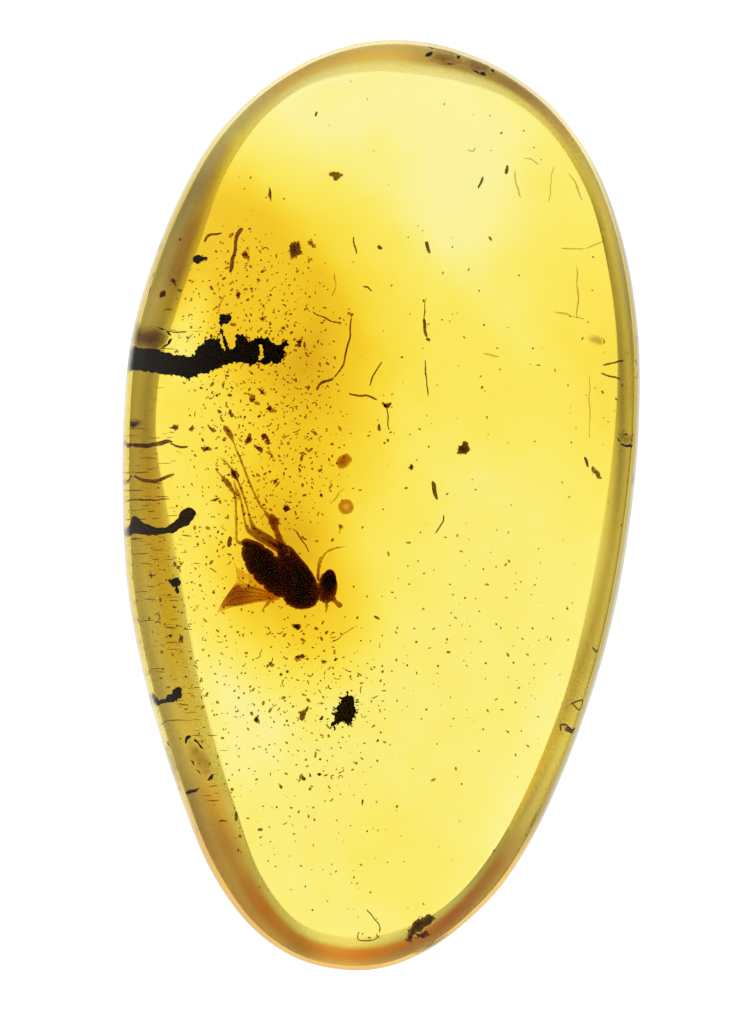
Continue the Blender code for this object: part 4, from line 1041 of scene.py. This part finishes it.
for smudge in SMUDGES:
    made = bmesh.ops.create_icosphere(smudge_form, subdivisions=4, radius=1.0)
    for vertex in made["verts"]:
        x, y, z = vertex.co
        vertex.co = lump_matrix(*smudge) @ Vector((x * SMUDGE_SPREAD, y * SMUDGE_SPREAD,
                                                   z * max(1 - x * x - y * y, 0.01)))
smudge_mesh = roughened(settled("smudges", smudge_form), 0.12, 0.04)
place("smudges", smudge_mesh, SMUDGE_STAIN, "brown_resin")

# ---------------------------------------------------------------- fine dust in the resin
# Hundreds of grains too small to tell apart, thick in a cloud round the twig and the fly and thin
# elsewhere, and fine streaks that lie across the left rim. Patches: centre, reach, grains per square
# millimetre.
DUST_PATCHES = (
    ((-2.6, 3.4), (1.9, 2.8), 52), ((-2.3, 1.2), (1.8, 2.2), 48), ((-3.4, -1.6), (2.0, 3.4), 26),
    ((-1.9, -4.0), (2.6, 2.6), 26), ((-2.4, -6.0), (1.6, 2.2), 14), ((-0.6, -7.6), (1.8, 1.8), 9),
    ((1.6, -3.2), (2.6, 3.6), 8), ((4.6, 2.8), (1.2, 3.2), 4), ((0.6, 2.2), (3.4, 4.0), 3),
    ((3.6, 8.0), (1.5, 1.2), 5))
DUST_EVERYWHERE = 0.9
STREAK_PATCHES = (
    ((-5.2, -1.2), (1.3, 4.8), 26), ((-4.2, -5.6), (1.0, 2.6), 16), ((-4.8, 3.9), (1.0, 2.0), 8))
SMALLEST_GRAIN = 0.4
PLATE_STEP = 0.25
PLATE_MARGIN = 0.95


def dust_tree():
    """Small stretched balls strewn over a plate, each turned, shifted in depth and sized at random."""
    tree, given, result = new_nodes(
        "dust", (("Length", "Float"), ("Slimness", "Float"), ("Turn", "Float"), ("Tumble", "Float"),
                 ("Depth", "Float"), ("Seed", "Int"), ("Finish", "Material")))
    per_mm2 = add(tree, "GeometryNodeInputNamedAttribute", data_type="FLOAT")
    per_mm2.inputs["Name"].default_value = "grains"
    points = add(tree, "GeometryNodeDistributePointsOnFaces",
                 ((given["Geometry"], "Mesh"), (per_mm2.outputs[0], "Density"), (given["Seed"], "Seed")))

    def random_vector(low, high, salt):
        seed = add(tree, "FunctionNodeIntegerMath", ((given["Seed"], 0),), operation="ADD")
        seed.inputs[1].default_value = salt
        made = add(tree, "FunctionNodeRandomValue", ((seed.outputs[0], "Seed"),), data_type="FLOAT_VECTOR")
        for socket, side in ((made.inputs[0], low), (made.inputs[1], high)):
            parts = add(tree, "ShaderNodeCombineXYZ")
            for axis, value in zip("XYZ", side):
                if isinstance(value, (int, float)):
                    parts.inputs[axis].default_value = value
                else:
                    tree.links.new(value, parts.inputs[axis])
            tree.links.new(parts.outputs[0], socket)
        return made.outputs[0]

    deep = given["Depth"]
    moved = add(tree, "GeometryNodeSetPosition",
                ((points.outputs["Points"], "Geometry"),
                 (random_vector((0, 0, times(tree, deep, -1)), (0, 0, deep), 1), "Offset")))
    tumble, turn = given["Tumble"], given["Turn"]
    less_tumble = times(tree, tumble, -1)
    twist = random_vector((less_tumble, less_tumble, times(tree, turn, -1)), (tumble, tumble, turn), 2)
    long_side = given["Length"]
    slim_side = times(tree, long_side, given["Slimness"])
    least_slim = times(tree, slim_side, SMALLEST_GRAIN)
    size = random_vector((times(tree, long_side, SMALLEST_GRAIN), least_slim, least_slim),
                         (long_side, slim_side, slim_side), 3)
    skew = random_vector((0.35, 0, 0), (1, 0, 0), 4)
    share = add(tree, "ShaderNodeSeparateXYZ", ((skew, 0),)).outputs["X"]
    smaller = add(tree, "ShaderNodeVectorMath", ((size, 0), (share, "Scale")), operation="SCALE")
    grain = add(tree, "GeometryNodeMeshIcoSphere", Radius=1.0, Subdivisions=1)
    placed = add(tree, "GeometryNodeInstanceOnPoints",
                 ((moved.outputs[0], "Points"), (grain.outputs["Mesh"], "Instance"), (twist, "Rotation"),
                  (smaller.outputs[0], "Scale")))
    return finished(tree, placed, given["Finish"], result)


def dust_plate(name, patches, everywhere):
    """A plan of the stone at the inclusions' level, with the grains on each square millimetre."""
    form = bmesh.new()
    grains = form.verts.layers.float.new("grains")
    across, along = int(HALF_WIDTH / PLATE_STEP) + 1, int(HALF_LENGTH / PLATE_STEP) + 1
    grid = {}
    for column in range(-across, across + 1):
        for row in range(-along, along + 1):
            x, y = column * PLATE_STEP, row * PLATE_STEP
            angle = math.atan2(y / HALF_LENGTH, x / HALF_WIDTH)
            out = math.hypot(x / HALF_WIDTH, y / HALF_LENGTH)
            if out > PLATE_MARGIN * rim_at(angle)[0]:
                continue
            count = everywhere
            for (centre_x, centre_y), (reach_x, reach_y), most in patches:
                away = math.hypot((x - centre_x) / reach_x, (y - centre_y) / reach_y)
                count = max(count, most * max(0.0, 1 - away ** 3))
            vertex = form.verts.new((x, y, LEVEL))
            vertex[grains] = count
            grid[column, row] = vertex
    for column, row in list(grid):
        corners = [grid.get(spot) for spot in
                   ((column, row), (column + 1, row), (column + 1, row + 1), (column, row + 1))]
        if all(corners):
            form.faces.new(corners)
    mesh = bpy.data.meshes.new(name)
    form.to_mesh(mesh)
    form.free()
    return mesh


DUST = dust_tree()
SPECK = sealed_material("dust_grain", 0.5, (0.10, 0.04, 0.006), (0.55, 0.34, 0.08), 1.0)
STREAK = sealed_material("rim_streak", 0.5, (0.16, 0.08, 0.02), (0.5, 0.34, 0.14), 1.0)
grain_mesh = grown("dust_cloud", dust_plate("dust_plate", DUST_PATCHES, DUST_EVERYWHERE), DUST,
                   {"Length": 0.055, "Slimness": 0.6, "Turn": 3.14, "Tumble": 0.6, "Depth": 0.8, "Seed": 3,
                    "Finish": SPECK})
place("dust_cloud", grain_mesh, SPECK, "bark_scraps", smooth=False)
streak_mesh = grown("rim_streaks", dust_plate("streak_plate", STREAK_PATCHES, 0.0), DUST,
                    {"Length": 0.2, "Slimness": 0.09, "Turn": 0.12, "Tumble": 0.0, "Depth": 0.8, "Seed": 8,
                     "Finish": STREAK})
place("rim_streaks", streak_mesh, STREAK, "plant_remains")

# Grit among the dust, coarser and fewer, and short curled shreds of plant hair that lie in the same cloud,
# each bent the same way all along.
GRIT_PATCHES = (
    ((-2.6, 3.4), (1.9, 2.6), 14), ((-2.3, 1.0), (1.8, 2.2), 14), ((-3.6, -1.6), (1.6, 3.0), 7),
    ((-1.9, -4.0), (2.2, 2.4), 8), ((-2.4, -6.0), (1.4, 1.8), 3), ((1.6, -3.2), (2.6, 3.6), 1))
GRIT = sealed_material("grit", 0.3, (0.10, 0.045, 0.008), (0.6, 0.36, 0.08), 1.0)
grit_mesh = grown("grit", dust_plate("grit_plate", GRIT_PATCHES, 0.15), DUST,
                  {"Length": 0.095, "Slimness": 0.5, "Turn": 3.14, "Tumble": 0.5, "Depth": 0.6, "Seed": 21,
                   "Finish": GRIT})
place("grit", grit_mesh, GRIT, "bark_scraps", smooth=False)
CURLS = 120
CURL_STEPS = 4
curl_form = bmesh.new()
for _ in range(CURLS):
    (middle_x, middle_y), (reach_x, reach_y), _ = chance.choice(DUST_PATCHES[:4])
    away, side = math.sqrt(chance.random()) * 0.85, chance.uniform(0, math.tau)
    x, y = middle_x + reach_x * away * math.cos(side), middle_y + reach_y * away * math.sin(side)
    heading, bend = chance.uniform(0, math.tau), chance.uniform(-1.1, 1.1)
    step = chance.uniform(0.018, 0.045)
    path = [(x, y)]
    for _ in range(CURL_STEPS):
        heading += bend
        x, y = x + step * math.cos(heading), y + step * math.sin(heading)
        path.append((x, y))
    curl = thread(path, chance.uniform(0.007, 0.014), chance.uniform(-0.4, 0.4))
    strung(curl_form, curl, sides=5, fineness=2)
place("curled_shreds", settled("curled_shreds", curl_form), DARK_THREAD, "plant_remains")

# ---------------------------------------------------------------- the stage
# A pale floor that glows under the stone like a light table and greys off round it, a soft sky that is dark
# overhead, and a long lens straight above.
FLOOR_RADIUS = 600
FLOOR_DROP = 0.02
GLOW = 1.09
GLOW_FAR = 0.65
GLOW_INNER = 22
GLOW_OUTER = 70
SKY_SIDE, SKY_END, SKY_TILT = 0.57, 1.60, 0.12
SKY_FROM, SKY_TO = 0.86, 0.985
SKY_DARK = 0.02
floor_form = bmesh.new()
bmesh.ops.create_circle(floor_form, cap_ends=True, segments=96, radius=FLOOR_RADIUS * MM)
floor_form.transform(Matrix.Translation((0, 0, -FLOOR_DROP * MM)))
floor_mesh = bpy.data.meshes.new("floor")
floor_form.to_mesh(floor_mesh)
floor_form.free()
floor = bpy.data.objects.new("floor", floor_mesh)
bpy.context.scene.collection.objects.link(floor)
floor_material, floor_tree, floor_shader, floor_place = new_material("pale_floor")
floor_shader.inputs["Base Color"].default_value = (0, 0, 0, 1)
floor_shader.inputs["Specular IOR Level"].default_value = 0.0
floor_shader.inputs["Emission Color"].default_value = (1, 1, 1, 1)
floor_away = add(floor_tree, "ShaderNodeVectorMath", ((floor_place, 0),), operation="LENGTH")
floor_glow = ramp(floor_tree, floor_away.outputs["Value"], GLOW_INNER, GLOW_OUTER, GLOW, GLOW_FAR)
floor_tree.links.new(floor_glow, floor_shader.inputs["Emission Strength"])
floor_mesh.materials.append(floor_material)

world = bpy.data.worlds.new("soft_sky")
bpy.context.scene.world = world
world.use_nodes = True
sky = world.node_tree
sky_place = add(sky, "ShaderNodeTexCoord").outputs["Generated"]
sky_way = add(sky, "ShaderNodeSeparateXYZ", ((sky_place, 0),)).outputs
to_end = times(sky, sky_way["Y"], sky_way["Y"])
ends = add(sky, "ShaderNodeMath", ((to_end, 0),), operation="MULTIPLY_ADD")
ends.inputs[1].default_value, ends.inputs[2].default_value = SKY_END - SKY_SIDE, SKY_SIDE
sides = add(sky, "ShaderNodeMath", ((sky_way["X"], 0), (ends.outputs[0], 2)), operation="MULTIPLY_ADD")
sides.inputs[1].default_value = -SKY_TILT
sky_light = times(sky, sides.outputs[0], ramp(sky, sky_way["Z"], SKY_FROM, SKY_TO, 1.0, SKY_DARK))
sky.links.new(sky_light, sky.nodes["Background"].inputs["Strength"])
sky.nodes["Background"].inputs["Color"].default_value = (1, 1, 1, 1)

# The frame holds the stone's 20 mm in 925 of its 1016 pixels, a little left of and below the middle.
PIXEL = 20 / 925
FRAME_HEIGHT = 1016
VIEW_MIDDLE = (-12 * PIXEL, -3.5 * PIXEL)
VIEW_LEVEL = 2.1
lens = bpy.data.cameras.new("camera")
lens.lens = 135
lens.sensor_width = 36
lens.clip_start = 1 * MM
lens.clip_end = 2.0
camera = bpy.data.objects.new("camera", lens)
bpy.context.scene.collection.objects.link(camera)
view_distance = FRAME_HEIGHT * PIXEL * lens.lens / lens.sensor_width
camera.location = Vector((*VIEW_MIDDLE, VIEW_LEVEL + view_distance)) * MM
bpy.context.scene.camera = camera
bpy.context.scene.view_settings.view_transform = "Standard"
